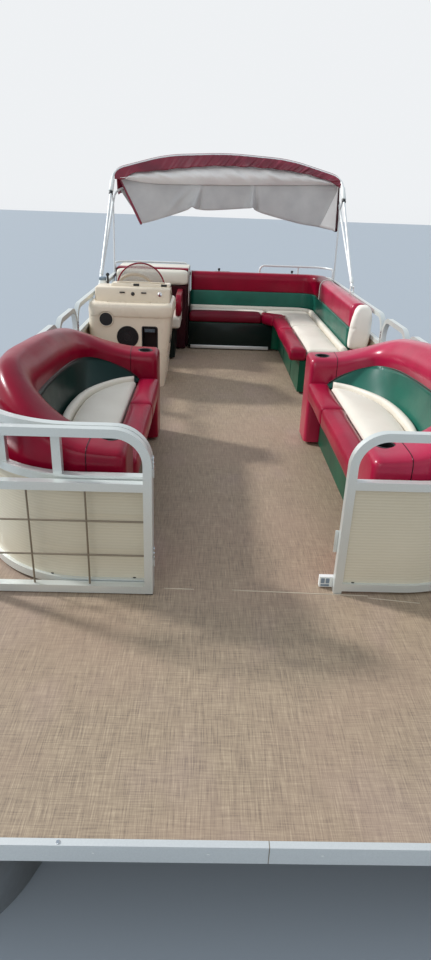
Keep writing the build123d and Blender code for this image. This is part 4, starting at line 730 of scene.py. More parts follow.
# Front lounges. Each row of the table is a station round the U, from the aft arm's aisle end to the front
# arm's: inner x, inner y, rim z, outer x, outer y, crest z, squareness of the section
SHELL = (
    (0.500, 1.712, 0.430, 0.500, 1.952, 0.600, 5.5),
    (0.600, 1.712, 0.430, 0.600, 1.953, 0.601, 5.5),
    (0.700, 1.718, 0.490, 0.720, 1.953, 0.608, 5.0),
    (0.820, 1.716, 0.540, 0.880, 1.950, 0.645, 4.0),
    (0.915, 1.680, 0.572, 1.035, 1.915, 0.702, 3.2),
    (0.965, 1.580, 0.592, 1.140, 1.780, 0.752, 2.7),
    (0.982, 1.400, 0.618, 1.168, 1.500, 0.792, 2.4),
    (0.985, 1.150, 0.642, 1.170, 1.180, 0.830, 2.3),
    (0.985, 0.900, 0.658, 1.170, 0.860, 0.853, 2.3),
    (0.985, 0.690, 0.664, 1.166, 0.600, 0.866, 2.3),
    (0.972, 0.500, 0.660, 1.105, 0.345, 0.862, 2.4),
    (0.920, 0.390, 0.625, 0.985, 0.165, 0.800, 2.7),
    (0.830, 0.340, 0.570, 0.850, 0.075, 0.705, 3.3),
    (0.720, 0.330, 0.490, 0.720, 0.055, 0.628, 4.4),
    (0.600, 0.332, 0.430, 0.600, 0.053, 0.603, 5.5),
    (0.500, 0.332, 0.430, 0.500, 0.053, 0.600, 5.5),
)
SHELL_STATIONS = 110
SHELL_FOOT = 0.022
SHELL_END_ROUNDING = 0.034
SHELL_FREE = 0.5
SHELL_SEAM_X = 0.668
ARM_TUCK_START = 0.615
CUP_RADIUS = 0.042
CUP_DEPTH = 0.08
CUP_RIM = 0.6
CUP_PLACES = ((0.588, 1.8142), (0.588, 0.226))
# The line in plan where the seat meets the back, from the aft arm to the front arm
SEAT_CURVE = ((0.600, 1.700), (0.745, 1.610), (0.870, 1.430), (0.928, 1.250), (0.948, 1.020), (0.930, 0.790),
              (0.870, 0.610), (0.745, 0.430), (0.600, 0.340))
SEAT_TOP = 0.445
SEAT_FOOT = 0.33
LOUNGE_CENTRE = np.array((0.62, 1.02))
CURVE_START = 0.628
SEAT_AISLE_X = 0.626
SEAT_BAND_WIDTH = 0.052
SEAT_BAND_MIDDLE = 0.027
FRONT_PAD = (0.489, 0.622)
FRONT_PAD_ENDS = (0.345, 1.700)
FRONT_PAD_JOINT = 1.17


def shell_section(row, inset=0.0):
    """One section of the lounge shell, in the deck frame. inset shrinks it, for the rounded ends."""
    ix, iy, rim, ox, oy, crest, square = row
    inner, outer = np.array((ix, iy)), np.array((ox, oy))
    width = np.linalg.norm(outer - inner)
    power = 2 / square
    backness = float(np.clip((crest - 0.60) / 0.2, 0, 1))
    tuck = float(np.clip((ix - ARM_TUCK_START) / 0.09, 0, 1))
    shoulder = crest - (0.07 + 0.09 * backness)
    edge = inset / width
    points = []
    for k in range(21):
        angle = math.pi * (1 - k / 20)
        c, s = math.cos(angle), math.sin(angle)
        across = 0.5 + (0.5 - edge) * math.copysign(abs(c) ** power, c)
        low = rim if k <= 10 else shoulder
        z = low + (crest - inset - low) * abs(s) ** power
        if k < 10:
            across -= 0.11 * backness * math.sin(math.pi * min(1.0, abs(s) * 1.15)) * (1 - k / 10)
        points.append((across, z))
    under = [(edge + 0.17 * tuck, SHELL_FOOT), (edge + 0.17 * tuck, SHELL_FOOT + (rim - SHELL_FOOT) * 0.5),
             (edge + 0.17 * tuck, rim - 0.055), (edge + 0.13 * tuck, rim - 0.022),
             (edge + 0.05 * tuck, rim - 0.006)]
    down = [(1 - edge, shoulder * 0.66), (1 - edge, shoulder * 0.33), (1 - edge, SHELL_FOOT)]
    return [(*(inner + (outer - inner) * a), z) for a, z in under + points + down]


def lounge_shell():
    """The one-piece padded shell with rounded aisle ends and cup holder wells."""
    rows = smooth_path(SHELL, SHELL_STATIONS)
    steps = 6

    def end(row):
        rings = []
        for k in range(steps + 1):
            turn = math.pi / 2 * k / steps
            station = row.copy()
            station[0] = station[3] = SHELL_FREE + SHELL_END_ROUNDING * (1 - math.sin(turn))
            rings.append(shell_section(station, SHELL_END_ROUNDING * (1 - math.cos(turn))))
        return rings

    limit = SHELL_FREE + SHELL_END_ROUNDING + 0.003
    middle = [shell_section(row) for row in rows if min(row[0], row[3]) > limit]
    ordered = list(reversed(end(rows[0]))) + middle + end(rows[-1])
    placed = [[at(*p) for p in ring] for ring in ordered]
    obj = turned_out(new_mesh("lounge_shell", *skin(placed), "burgundy"))
    cutters = [drum("cutter", (x, y, CUP_RIM - CUP_DEPTH), (0, 0, 1), CUP_RADIUS + 0.001, 0.2,
                    "black", sides=40)
               for x, y in CUP_PLACES]
    bored(obj, cutters)
    obj.data.set_sharp_from_angle(angle=math.radians(40))
    return obj


def shell_seam(station_x, aft):
    """A sewn seam across an arm of the shell."""
    rows = smooth_path(SHELL, SHELL_STATIONS)
    half = [r for r in rows if (r[1] > 1.0) == aft]
    row = min(half, key=lambda r: abs(r[0] - station_x))
    points = [at(*p) for p in shell_section(row)[4:-1]]
    return tube("shell_seam", points, 0.0022, "burgundy_dark", sides=6)


def along_curve(count):
    """Matching points on the seat's curve and on the shell's rim, from the aft arm to the front arm."""
    seat = smooth_path([(x, y, SEAT_TOP) for x, y in SEAT_CURVE], count)
    rows = [r for r in smooth_path(SHELL, 220) if r[0] > CURVE_START]
    rim = even(np.array([(r[0], r[1], r[2]) for r in rows]), count)
    return seat, rim


def lounge_back():
    """The green panel, set back under the roll and slightly hollow, with a thin welt along its upper edge."""
    seat, rim = along_curve(72)
    rings, welt = [], []
    for low, high in zip(seat, rim):
        outward = low[:2] - LOUNGE_CENTRE
        outward /= np.linalg.norm(outward)
        top = high.copy()
        top[:2] -= outward * 0.004
        top[2] += 0.004
        base = low.copy()
        base[2] -= 0.03
        front, back = [], []
        for k in range(9):
            s = k / 8
            p = base + (top - base) * s
            hollow = 0.010 * math.sin(math.pi * s)
            front.append(at(p[0] + outward[0] * hollow, p[1] + outward[1] * hollow, p[2]))
            back.append(at(p[0] + outward[0] * 0.024, p[1] + outward[1] * 0.024, p[2]))
        rings.append(front + list(reversed(back)))
        welt.append(at(top[0], top[1], top[2] - 0.006))
    panel = turned_out(new_mesh("lounge_back", *skin(rings), "green"))
    line = tube("lounge_welt", welt, 0.0035, "burgundy_dark", sides=8)
    return panel, line


def lounge_seat_pads():
    """The cream D with its raised edge band, and the two burgundy front cushions."""
    curve = smooth_path([(x, y, 0) for x, y in SEAT_CURVE], 60)[:, :2]
    direction = curve - LOUNGE_CENTRE
    direction /= np.linalg.norm(direction, axis=1)[:, None]
    inner = curve - direction * SEAT_BAND_WIDTH
    inner = inner[inner[:, 0] > CURVE_START]
    plan = [np.array((SEAT_AISLE_X, inner[0][1])), *inner, np.array((SEAT_AISLE_X, inner[-1][1]))]
    seat = pad("lounge_seat", plan, SEAT_FOOT + 0.03, SEAT_TOP, "cream", edge=0.020, crown=0.008)
    band = curve - direction * SEAT_BAND_MIDDLE
    band = band[band[:, 0] > CURVE_START]
    rings = []
    for p in band:
        d = (p - LOUNGE_CENTRE) / np.linalg.norm(p - LOUNGE_CENTRE)
        section = rounded([(-0.024, 0.38, 0.004), (0.024, 0.38, 0.004), (0.024, 0.468, 0.02),
                           (-0.024, 0.468, 0.02)], 3)
        rings.append([at(*(p + d * u), z) for u, z in section])
    edge_band = turned_out(new_mesh("lounge_edge_band", *skin(rings), "cream"))
    seam = 0.0015
    fore, aft = FRONT_PAD_ENDS
    front = [pad(f"lounge_front_{name}", rectangle(*FRONT_PAD, y0, y1, 0.02), SEAT_FOOT, SEAT_TOP + 0.003,
                 "burgundy_strip", foot=0.016, crown=0.004, pinch=0.003)
             for name, y0, y1 in (("aft", FRONT_PAD_JOINT + seam, aft),
                                  ("fore", fore, FRONT_PAD_JOINT - seam))]
    return seat, edge_band, front


def cup_holder(place):
    x, y = place
    outside = [(0.000, 0.038), (0.002, 0.0395), (0.070, 0.0395), (0.0765, 0.049), (0.0795, 0.0495),
               (0.081, 0.048), (0.081, 0.042), (0.078, 0.0375), (0.006, 0.0355), (0.004, 0.0001)]
    return turned("cup_holder", (x, y, CUP_RIM - CUP_DEPTH + 0.001), (0, 0, 1), outside, "black", 40)


def front_lounges():
    shell = lounge_shell()
    both_sides(shell, "boat", "lounge_bolster")
    # The port shell takes the painted-sunlit copy of the burgundy; the starboard shell keeps the plain
    # burgundy.
    shell.data.materials[0] = LOOKS["burgundy_painted_sunlit"]
    for name, aft in (("aft", True), ("fore", False)):
        seam = shell_seam(SHELL_SEAM_X, aft)
        seam.name = f"shell_seam_{name}"
        both_sides(seam, "boat")
    panel, welt = lounge_back()
    _, shaded = both_sides(panel, "boat", "lounge_back_panel")
    # The port back panel takes the painted-sunlit copy of the green, the starboard one the painted-shade
    # copy.
    panel.data.materials[0] = LOOKS["green_sun"]
    shaded.data.materials[0] = LOOKS["green_painted_shade"]
    both_sides(welt, "boat")
    seat, band, front = lounge_seat_pads()
    for piece in (seat, *front):
        puffed(piece, 0.006)
        for side in both_sides(piece, "boat", "lounge_seat"):
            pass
    both_sides(band, "boat")
    for name, place in zip(("aft", "fore"), CUP_PLACES):
        cup = cup_holder(place)
        cup.name = f"cup_holder_{name}"
        both_sides(cup, "boat")


front_lounges()


# Aft lounge: an L along the port side and the stern
AFT_FRONT = 2.88
AFT_CAP = 0.095
AFT_INNER = 1.030
AFT_OUTER = 1.165
AFT_STERN = 5.095
STERN_BACK = 4.940
STERN_LEFT = -0.375
AFT_STRIP = (0.520, 0.663)
AFT_JOINT = 3.757
AFT_TURN = 4.352
AFT_SEAT = 0.390
AFT_SEAT_FOOT = 0.290
STERN_SEAT_FRONT = 4.490
STERN_STRIP_BACK = 4.658
STRIP_TURN_X = 0.411
AFT_SIDE_SEAM = 3.960
AFT_PIPING_Y = 4.520
ROLL_LOW, ROLL_HIGH = 0.565, 0.775


def l_path(inset_inner, inset_outer, start, end, corner=0.14, outer_corner=0.2, arc_steps=12):
    """Rows round the L between its inner and outer faces, each face moved inward by its inset."""
    ix, iy = AFT_INNER + inset_inner, STERN_BACK + inset_inner
    ox, oy = AFT_OUTER - inset_outer, AFT_STERN - inset_outer
    rows = [(ix, y, ox, y) for y in np.linspace(start, iy - corner, 26)]
    cx, cy = ix - corner, iy - corner
    gx, gy = ox - outer_corner, oy - outer_corner
    for k in range(1, arc_steps):
        turn = math.pi / 2 * k / arc_steps
        rows.append((cx + corner * math.cos(turn), cy + corner * math.sin(turn),
                     gx + outer_corner * math.cos(turn), gy + outer_corner * math.sin(turn)))
    rows += [(x, iy, x, oy) for x in np.linspace(ix - corner, end, 30)]
    return rows


def aft_roll():
    """The roll along the top of the L's back with the shell behind the panels, in one sweep."""
    path = l_path(-0.014, 0.004, AFT_FRONT + AFT_CAP - 0.004, STERN_LEFT)

    def section(k):
        width = math.hypot(path[k][2] - path[k][0], path[k][3] - path[k][1])
        return rounded([(0.004, ROLL_LOW, 0.030), (0, ROLL_HIGH - 0.006, 0.072),
                        (width, ROLL_HIGH - 0.012, 0.066), (width, AFT_SEAT_FOOT, 0.01),
                        (0.040, AFT_SEAT_FOOT, 0.004), (0.040, ROLL_LOW - 0.012, 0.006)], 6)

    return swept("aft_roll", path, section, "burgundy")


def aft_panels():
    """The green panels under the roll, in the painted-sunlit copy of the green vinyl."""
    path = l_path(-0.022, 0, AFT_FRONT + AFT_CAP, STERN_LEFT)

    def section(k):
        foot = AFT_SEAT - 0.045
        return rounded([(0.000, foot, 0.003), (0.000, ROLL_LOW + 0.004, 0.012),
                        (0.030, ROLL_LOW + 0.004, 0.003), (0.030, foot, 0.003)], 3)

    return swept("aft_panels", path, section, "green_sun")


def piping_ring(name, x_inner, y_inner, x_outer, y_outer):
    """White piping across the roll and down the panel, at one place of the L."""
    a, b = np.array((x_inner, y_inner)), np.array((x_outer, y_outer))
    direction = (b - a) / np.linalg.norm(b - a)
    width = np.linalg.norm(b - a)
    route = bent([(-0.008, AFT_SEAT), (-0.008, ROLL_LOW - 0.006), (-0.0165, ROLL_LOW + 0.004),
                  (-0.0165, ROLL_HIGH - 0.004), (width + 0.002, ROLL_HIGH - 0.01), (width + 0.002, 0.45)],
                 [0.01, 0.01, 0.068, 0.062])
    return tube(name, [at(*(a + direction * u), z) for u, z in route], 0.0052, "white_piping", sides=8)


def aft_lounge():
    roll = aft_roll()
    # The side part of the roll, forward of the piping, takes the painted-sunlit copy of the burgundy.
    roll.data.materials.append(LOOKS["burgundy_painted_sunlit"])
    for face in roll.data.polygons:
        if face.center.y - FENCE_Y < AFT_PIPING_Y:
            face.material_index = 1
    finish_piece(roll, "boat", ("aft_lounge_bolster",))
    panels = aft_panels()
    finish_piece(panels, "boat", ("aft_lounge_back_panel",))
    for name, place in (("aft_piping_side",
                         (AFT_INNER - 0.002, AFT_PIPING_Y, AFT_OUTER - 0.004, AFT_PIPING_Y)),
                        ("aft_piping_stern", (STERN_LEFT + 0.006, STERN_BACK - 0.002, STERN_LEFT + 0.006,
                                              AFT_STERN - 0.004))):
        finish_piece(piping_ring(name, *place), "boat")
    x0, x1 = AFT_STRIP
    turn = (x0, AFT_TURN)
    strips = {
        "aft_strip_fore": rectangle(x0, x1, AFT_FRONT + 0.012, AFT_JOINT, 0.018),
        "aft_strip_mid": rounded([(x0, AFT_JOINT + 0.003, 0.018), (x1, AFT_JOINT + 0.003, 0.018),
                                  (x1, 4.516, 0.012), (*turn, 0.012)]),
        "corner_strip": rounded([(STRIP_TURN_X + 0.002, STERN_SEAT_FRONT + 0.004, 0.012),
                                 (x0, AFT_TURN + 0.004, 0.012), (x1, 4.522, 0.012),
                                 (STRIP_TURN_X + 0.002, STERN_STRIP_BACK, 0.012)]),
        "stern_strip": rectangle(STERN_LEFT, STRIP_TURN_X, STERN_SEAT_FRONT + 0.002, STERN_STRIP_BACK, 0.018),
    }
    for name, plan in strips.items():
        piece = pad(name, plan, AFT_SEAT_FOOT + 0.002, AFT_SEAT + 0.005, "burgundy_strip", edge=0.030,
                    foot=0.018, crown=0.005, pinch=-0.003)
        # The stern strip takes a darker copy of the burgundy: painted shade.
        if name == "stern_strip":
            piece.data.materials[0] = LOOKS["burgundy_painted_shade"]
        finish_piece(puffed(piece, 0.006), "boat", ("aft_lounge_seat",))
    back, rear = AFT_INNER - 0.078, STERN_BACK - 0.078
    creams = {
        "aft_seat_side": rectangle(x1 + 0.003, back, AFT_FRONT + 0.014, AFT_SIDE_SEAM, 0.02),
        "aft_seat_corner": rounded([(x1 + 0.003, AFT_SIDE_SEAM + 0.003, 0.02),
                                    (back, AFT_SIDE_SEAM + 0.003, 0.01), (back, rear, 0.13),
                                    (0.475, rear, 0.01), (0.475, STERN_STRIP_BACK - 0.012, 0.01),
                                    (x1 + 0.003, 4.530, 0.02)]),
        "aft_seat_stern": rectangle(STERN_LEFT + 0.005, 0.472, STERN_STRIP_BACK + 0.003, rear, 0.02),
    }
    for name, plan in creams.items():
        piece = pad(name, plan, AFT_SEAT_FOOT + 0.002, AFT_SEAT - 0.002, "cream", edge=0.022, crown=0.009,
                    pitch=0.018)
        finish_piece(puffed(piece, 0.006, voxel=0.014), "boat", ("aft_lounge_seat",))
    path = l_path(-0.076, 0, AFT_FRONT + 0.02, STERN_LEFT + 0.006)

    def band(k):
        top = AFT_SEAT + 0.025
        return rounded([(0.000, 0.31, 0.003), (0.052, 0.31, 0.003), (0.052, top, 0.024),
                        (0.000, top, 0.024)], 4)

    finish_piece(swept("aft_seat_band", path, band, "cream"), "boat")
    # Seams down the plinth's aisle face, a dark sheet of painted shade on the front of its stern leg, and
    # that leg's pale kick strip
    for name, y in (("fore", 3.40), ("aft", 3.98)):
        seam = tube(f"aft_base_seam_{name}", [at(0.6095, y, z) for z in (0.03, 0.285)], 0.003, "plinth_green",
                    sides=6)
        finish_piece(seam, "boat")
    dark = box("stern_base_painted_shade", STERN_LEFT + 0.002, 0.53, 4.488, 4.499, 0.024, 0.288,
               "shadow_green", 0.003)
    finish_piece(dark, "boat")
    kick = box("stern_kick_strip", STERN_LEFT + 0.02, 0.50, 4.474, 4.487, 0.012, 0.048, "trim", 0.004)
    finish_piece(kick, "boat")


def end_cap():
    """The puffy pad on the bow end of the L's back: narrow at its foot, leaning outward to a round top."""
    rows = []
    # Height, inner edge, outer edge, thickness
    for z, x0, x1, depth in ((0.396, 1.016, 1.160, 0.062), (0.430, 1.006, 1.172, 0.082),
                             (0.50, 1.004, 1.178, 0.091), (0.60, 1.010, 1.180, 0.093),
                             (0.67, 1.022, 1.180, 0.092), (0.72, 1.036, 1.174, 0.086),
                             (0.75, 1.052, 1.160, 0.074), (0.769, 1.076, 1.138, 0.050)):
        y1 = AFT_FRONT + AFT_CAP - 0.006
        rows.append([at(*p, z)
                     for p in rounded([(x0, y1 - depth, 0.036), (x1, y1 - depth, 0.036), (x1, y1, 0.014),
                                       (x0, y1, 0.014)], 5)])
    # The cap is in a brighter copy of the cream: painted light.
    cap = turned_out(new_mesh("aft_end_cap", *skin(rows), "cap_cream"))
    soften = cap.modifiers.new("soften", "SUBSURF")
    soften.levels = soften.render_levels = 1
    apply_modifiers(cap)
    puffed(cap, 0.008, voxel=0.007)
    finish_piece(cap, "boat", ("aft_lounge_end_cap",))


aft_lounge()
end_cap()


# Helm bench
HELM_OUTER, HELM_INNER = -1.160, -0.440
HELM_SEAT_FRONT, HELM_SEAT_BACK = 3.902, 4.436
HELM_ROLL_Y = (4.446, 4.590)
HELM_ROLL_Z = (0.674, 0.818)
HELM_ARM_X = (-0.493, -0.442)


def helm():
    outer, inner = HELM_OUTER, HELM_INNER
    plan = rectangle(outer, inner, HELM_SEAT_FRONT, HELM_SEAT_BACK, 0.05)
    seat = pad("helm_seat_pad", plan, SEAT_FOOT, SEAT_TOP, "cream", edge=0.03, crown=0.010, pitch=0.018)
    finish_piece(puffed(seat, 0.008, voxel=0.013), "boat", ("helm_seat",))
    # Roll on top of the back: its section is in y and z, and runs across the boat
    path_x = np.linspace(outer + 0.024, inner + 0.046, 30)
    rings = []
    for k, x in enumerate(path_x):
        near = min(k, len(path_x) - 1 - k)
        shrink = 0.012 if near == 0 else 0.004 if near == 1 else 0.0
        y0, y1 = HELM_ROLL_Y[0] + shrink, HELM_ROLL_Y[1] - shrink
        z0, z1 = HELM_ROLL_Z[0] + shrink, HELM_ROLL_Z[1] - shrink
        section = rounded([(y0, z0, 0.03), (y1, z0, 0.03), (y1, z1, 0.05), (y0, z1, 0.055)], 6)
        rings.append([at(x, y, z) for y, z in section])
    roll = turned_out(new_mesh("helm_roll_pad", *skin(rings), "cream"))
    finish_piece(puffed(roll, 0.006, voxel=0.010), "boat", ("helm_roll",))
    arm_rows = []
    x0, x1 = HELM_ARM_X
    profile = bent([(3.925, 0.450), (3.925, 0.645), (HELM_SEAT_BACK, 0.645), (HELM_SEAT_BACK, 0.450)],
                   [0.085, 0.03], 8)
    for x, grow in ((x0, -0.008), (x0 + 0.006, 0.0), (x1 - 0.006, 0.0), (x1, -0.008)):
        middle = profile.mean(axis=0)
        ring = []
        for p in profile:
            d = (p - middle) / np.linalg.norm(p - middle)
            ring.append(at(x, *(p + d * grow)))
        arm_rows.append(ring)
    arm = turned_out(new_mesh("helm_arm_pad", *skin(arm_rows), "burgundy"))
    finish_piece(arm, "boat", ("helm_arm",))
    strip = box("helm_back_strip", outer + 0.01, -0.392, 4.602, 4.72, 0.800, 0.826, "burgundy", 0.012, 3)
    finish_piece(strip, "boat")
    top = box("helm_block_top", outer + 0.012, -0.390, 4.724, 5.085, 0.806, 0.822, "cream", 0.007, 3)
    finish_piece(top, "boat")
    piping = tube("helm_piping", [at(-0.386, 4.60, z) for z in np.linspace(0.44, 0.815, 8)], 0.0055,
                  "white_piping", sides=8)
    finish_piece(piping, "boat")


helm()


# Console
CONSOLE_OUTER, CONSOLE_INNER = -1.180, -0.485
CONSOLE_FRONT = 2.985
LID_LOW, LID_HIGH = 0.598, 0.706
PORTHOLE = (-1.025, 0.575)
PORTHOLE_RADIUS = 0.055
SPEAKER = (-0.849, 0.431)
CUBBY = (-0.725, -0.600, 0.230, 0.520)
SCREEN_X, SCREEN_Y = -0.753, 3.200
SCREEN_LOW, SCREEN_HIGH, SCREEN_HALF = 0.846, 1.011, 0.200
LEG_SOCKET = (-1.122, 3.475)
ROCKERS = (-0.900, -0.720)
ROCKER_HALF = 0.022
DASH_SQUARES = (-0.790, -0.556)
SPEAKER_RIDGES = (0.040, 0.050, 0.060, 0.070)


def loaf(name, x0, x1, corners, look, edge, steps=4):
    """A form of one (y, z) section across the boat, with rounded ends. corners are (y, z, radius)."""
    outline = np.array(rounded(corners, 5))
    normal = inward(outline)
    places = []
    for k in range(steps + 1):
        turn = math.pi / 2 * k / steps
        places.append((edge * (1 - math.sin(turn)), edge * (1 - math.cos(turn))))
    rows = [(x0 + a, b) for a, b in reversed(places)]
    rows += [(x1 - a, b) for a, b in places]
    rings = [[at(x, *p) for p in outline + normal * inset] for x, inset in rows]
    return turned_out(new_mesh(name, *skin(rings), look, angle=50))


def ring_line(name, x, y, z, radius, thick, look):
    """A bead round a centre on an upright face across the boat."""
    turns = np.radians(np.linspace(0, 360, 49))[:-1]
    points = [at(x + radius * math.cos(a), y, z + radius * math.sin(a)) for a in turns]
    return tube(name, points, thick, look, closed=True, sides=8)


def console_lid():
    """The moulded lid: round-shouldered, with the porthole's dip in its front edge."""
    outer, inner, front, aft = CONSOLE_OUTER, CONSOLE_INNER + 0.012, CONSOLE_FRONT - 0.012, 3.552
    plan = rounded([(outer, front, 0.10), (inner, front, 0.10), (inner, aft, 0.03), (outer, aft, 0.03)], 8)
    lid = pad("console_lid", plan, LID_LOW, LID_HIGH, "gelcoat", edge=0.036, foot=0.006, crown=0.0,
              pinch=-0.003)
    x, z = PORTHOLE
    dip = drum("dip", (x, front - 0.1, z), (0, 1, 0), 0.068, 0.1 + 0.012, "gelcoat", 48)
    hole = drum("hole", (x, front - 0.1, z), (0, 1, 0), PORTHOLE_RADIUS, 0.172, "gelcoat", 48)
    bored(lid, [dip, hole])
    lid.data.set_sharp_from_angle(angle=math.radians(35))
    return lid


def console():
    lid = console_lid()
    finish_piece(lid, "boat", ("console_top",))
    shelf = loaf("dash_shelf", -1.130, -0.500,
                 [(3.088, 0.700, 0.004), (3.100, 0.820, 0.020), (3.316, 0.820, 0.012),
                  (3.480, 0.701, 0.004)], "gelcoat", 0.018)
    crown = loaf("dash_crown", -1.000, -0.502,
                 [(3.168, 0.812, 0.004), (3.175, 0.846, 0.012), (3.280, 0.846, 0.012),
                  (3.322, 0.812, 0.004)], "gelcoat", 0.014)
    for piece in (shelf, crown):
        finish_piece(piece, "boat", ("console_top",))
    # Flat tray outline moulded into the lid in front of the dash, drawn in a darker gelcoat: painted shade
    tray = bent([(-1.02, 3.085), (-1.02, 3.030), (-0.66, 3.030), (-0.66, 3.085)], [0.016, 0.016])
    tray_line = tube("lid_tray_line", [at(x, y, LID_HIGH + 0.0005) for x, y in tray], 0.0022, "gelcoat_shade")
    finish_piece(tray_line, "boat")
    face = CONSOLE_FRONT
    x, z = PORTHOLE
    cup = turned("porthole_liner", (x, face - 0.011, z), (0, 1, 0),
                 [(0.0, 0.0525), (0.0, 0.0555), (0.004, 0.0565), (0.006, 0.0535), (0.055, 0.0515),
                  (0.056, 0.0001)], "black", 40)
    finish_piece(cup, "boat")
    rim = ring_line("porthole_rim", x, face - 0.0105, z, 0.0575, 0.0034, "gelcoat")
    finish_piece(rim, "boat")
    x, z = SPEAKER
    profile = [(0.0005, 0.0001), (0.0005, 0.022), (-0.003, 0.024), (-0.003, 0.030), (0.0005, 0.032)]
    for radius in SPEAKER_RIDGES:
        profile += [(0.0005, radius), (-0.0032, radius + 0.0018), (-0.0032, radius + 0.0058),
                    (0.0005, radius + 0.0076)]
    profile += [(0.0005, 0.080), (-0.004, 0.083), (-0.004, 0.089), (0.002, 0.092), (0.006, 0.092)]
    speaker = turned("speaker_face", (x, face - 0.006, z), (0, 1, 0), profile, "black", 56)
    finish_piece(speaker, "boat", ("console_speaker",))
    x0, x1, z0, z1 = CUBBY
    frame_line = bent([(x0 + 0.02, z1), (x1, z1), (x1, z0), (x0, z0), (x0, z1), (x0 + 0.02, z1)],
                      [0.018, 0.018, 0.018, 0.018])
    border = tube("cubby_frame", [at(a, face - 0.001, b) for a, b in frame_line[:-1]], 0.0055, "black",
                  closed=True)
    finish_piece(border, "boat")
    slats = box("cubby_slats", x0 + 0.014, x1 - 0.014, face + 0.010, face + 0.016, z1 - 0.052, z1 - 0.014,
                "black", 0.003)
    finish_piece(slats, "boat")
    for k, z in enumerate((z1 - 0.024, z1 - 0.033, z1 - 0.042)):
        line = box(f"cubby_slat_{k}", x0 + 0.02, x1 - 0.02, face + 0.006, face + 0.011, z - 0.0018,
                   z + 0.0018, "grey", 0.001, 1)
        finish_piece(line, "boat")
    # Rocker switches, knob, square plates and key switch on the dash
    for k, x in enumerate(ROCKERS):
        rocker = box(f"dash_rocker_{k}", x - ROCKER_HALF, x + ROCKER_HALF, 3.084, 3.096, 0.776, 0.786,
                     "black", 0.002)
        finish_piece(rocker, "boat")
    knob = turned("dash_knob", (-0.812, 3.094, 0.770), (0, -1, 0.1),
                  [(0, 0.016), (0.006, 0.014), (0.016, 0.008), (0.018, 0.0001)], "black", 20)
    finish_piece(knob, "boat")
    for k, x in enumerate(DASH_SQUARES):
        square = box(f"dash_square_{k}", x - 0.025, x + 0.025, 3.169, 3.178, 0.824, 0.844, "black", 0.003)
        finish_piece(square, "boat")
    key = turned("key_switch", (-0.585, 3.096, 0.772), (0, -1, 0.1),
                 [(0, 0.019), (0.005, 0.018), (0.006, 0.012), (0.012, 0.011), (0.013, 0.0001)],
                 "chrome", 24)
    finish_piece(key, "boat")
    blade = box("key_blade", -0.588, -0.582, 3.068, 3.086, 0.762, 0.790, "burgundy", 0.002)
    finish_piece(blade, "boat")
    # Aisle face: a dark slot and two small bright plates
    slot = box("side_slot", -0.516, -0.505, 3.25, 3.33, 0.33, 0.40, "black", 0.004)
    finish_piece(slot, "boat")
    for k, z in enumerate((0.21, 0.16)):
        plate = box(f"side_plate_{k}", -0.531 + 0.01 * k, -0.518, 3.27, 3.31, z, z + 0.03, "chrome", 0.003)
        finish_piece(plate, "boat")
    # Burgundy edge of the screen and its foot strip
    rise = SCREEN_HIGH - SCREEN_LOW
    radius = (SCREEN_HALF ** 2 + rise ** 2) / (2 * rise)
    half_turn = math.asin(SCREEN_HALF / radius)
    turns = np.linspace(-half_turn, half_turn, 49)
    edge = [at(SCREEN_X + (radius - 0.003) * math.sin(a), SCREEN_Y + 0.003,
               SCREEN_HIGH - radius + (radius - 0.003) * math.cos(a)) for a in turns]
    finish_piece(tube("screen_edge", edge, 0.0062, "burgundy", sides=8), "boat")
    foot = box("screen_foot", SCREEN_X - SCREEN_HALF, SCREEN_X + SCREEN_HALF, SCREEN_Y - 0.008,
               SCREEN_Y + 0.014, SCREEN_LOW - 0.001, SCREEN_LOW + 0.012, "gelcoat", 0.004)
    finish_piece(foot, "boat")
    # Moulded socket on the lid for the sun top's leg, with its grey collar
    socket = turned("leg_socket", (*LEG_SOCKET, LID_HIGH - 0.002), (0, 0, 1),
                    [(0, 0.046), (0.02, 0.045), (0.10, 0.036), (0.122, 0.030), (0.126, 0.0001)],
                    "white_plastic", 28)
    finish_piece(socket, "boat")
    collar = turned("leg_collar", (*LEG_SOCKET, LID_HIGH + 0.121), (0, 0, 1),
                    [(0, 0.030), (0.006, 0.033), (0.022, 0.033), (0.028, 0.024), (0.029, 0.0001)],
                    "grey", 24)
    finish_piece(collar, "boat")


console()


# Sun top: the cloth lies gathered between the folded bows
TOP_FOOT_Y, TOP_PIVOT_Z = 3.850, 0.790
MAIN_LEAN, REAR_LEAN = math.radians(42), math.radians(34)
BOW_HALF = 1.2
LOOP_ENDS = (-1.15, 1.182)


def bow_line(lean, leg, crown):
    """The bow's place along its leg as a function of x, from its bent path."""
    rise = crown - leg
    half = BOW_HALF
    shoulder = half * 0.55
    path = bent([(-half, 0), (-half, leg), (-shoulder, leg + rise * 0.8), (0, crown),
                 (shoulder, leg + rise * 0.8), (half, leg), (half, 0)], [0.17, 1.2, 2.2, 1.2, 0.17], 16)
    arch = path[path[:, 1] > leg - 0.2]
    order = np.argsort(arch[:, 0])

    def place(x):
        along = float(np.interp(x, arch[order, 0], arch[order, 1]))
        return TOP_FOOT_Y + along * math.cos(lean), TOP_PIVOT_Z + along * math.sin(lean)

    return place


main_bow = bow_line(MAIN_LEAN, 1.450, 1.740)
rear_bow = bow_line(REAR_LEAN, 1.400, 1.660)


def cloth_grid(name, columns, route, look, thickness=0.003):
    """A sheet from a route of (x, y, z) points for each column, with its own thickness."""
    rows = [[at(*p) for p in route(x)] for x in columns]
    points, faces = skin(rows, closed_rings=False, caps=False)
    obj = new_mesh(name, points, faces, look)
    solid = obj.modifiers.new("thickness", "SOLIDIFY")
    solid.thickness = thickness
    solid.offset = 0
    apply_modifiers(obj)
    return obj


def profile_of(points):
    """A smooth height over x through (x, z) points."""
    rows = smooth_path([(x, z, 0) for x, z in points], 240)
    return lambda x: float(np.interp(x, rows[:, 0], rows[:, 1]))


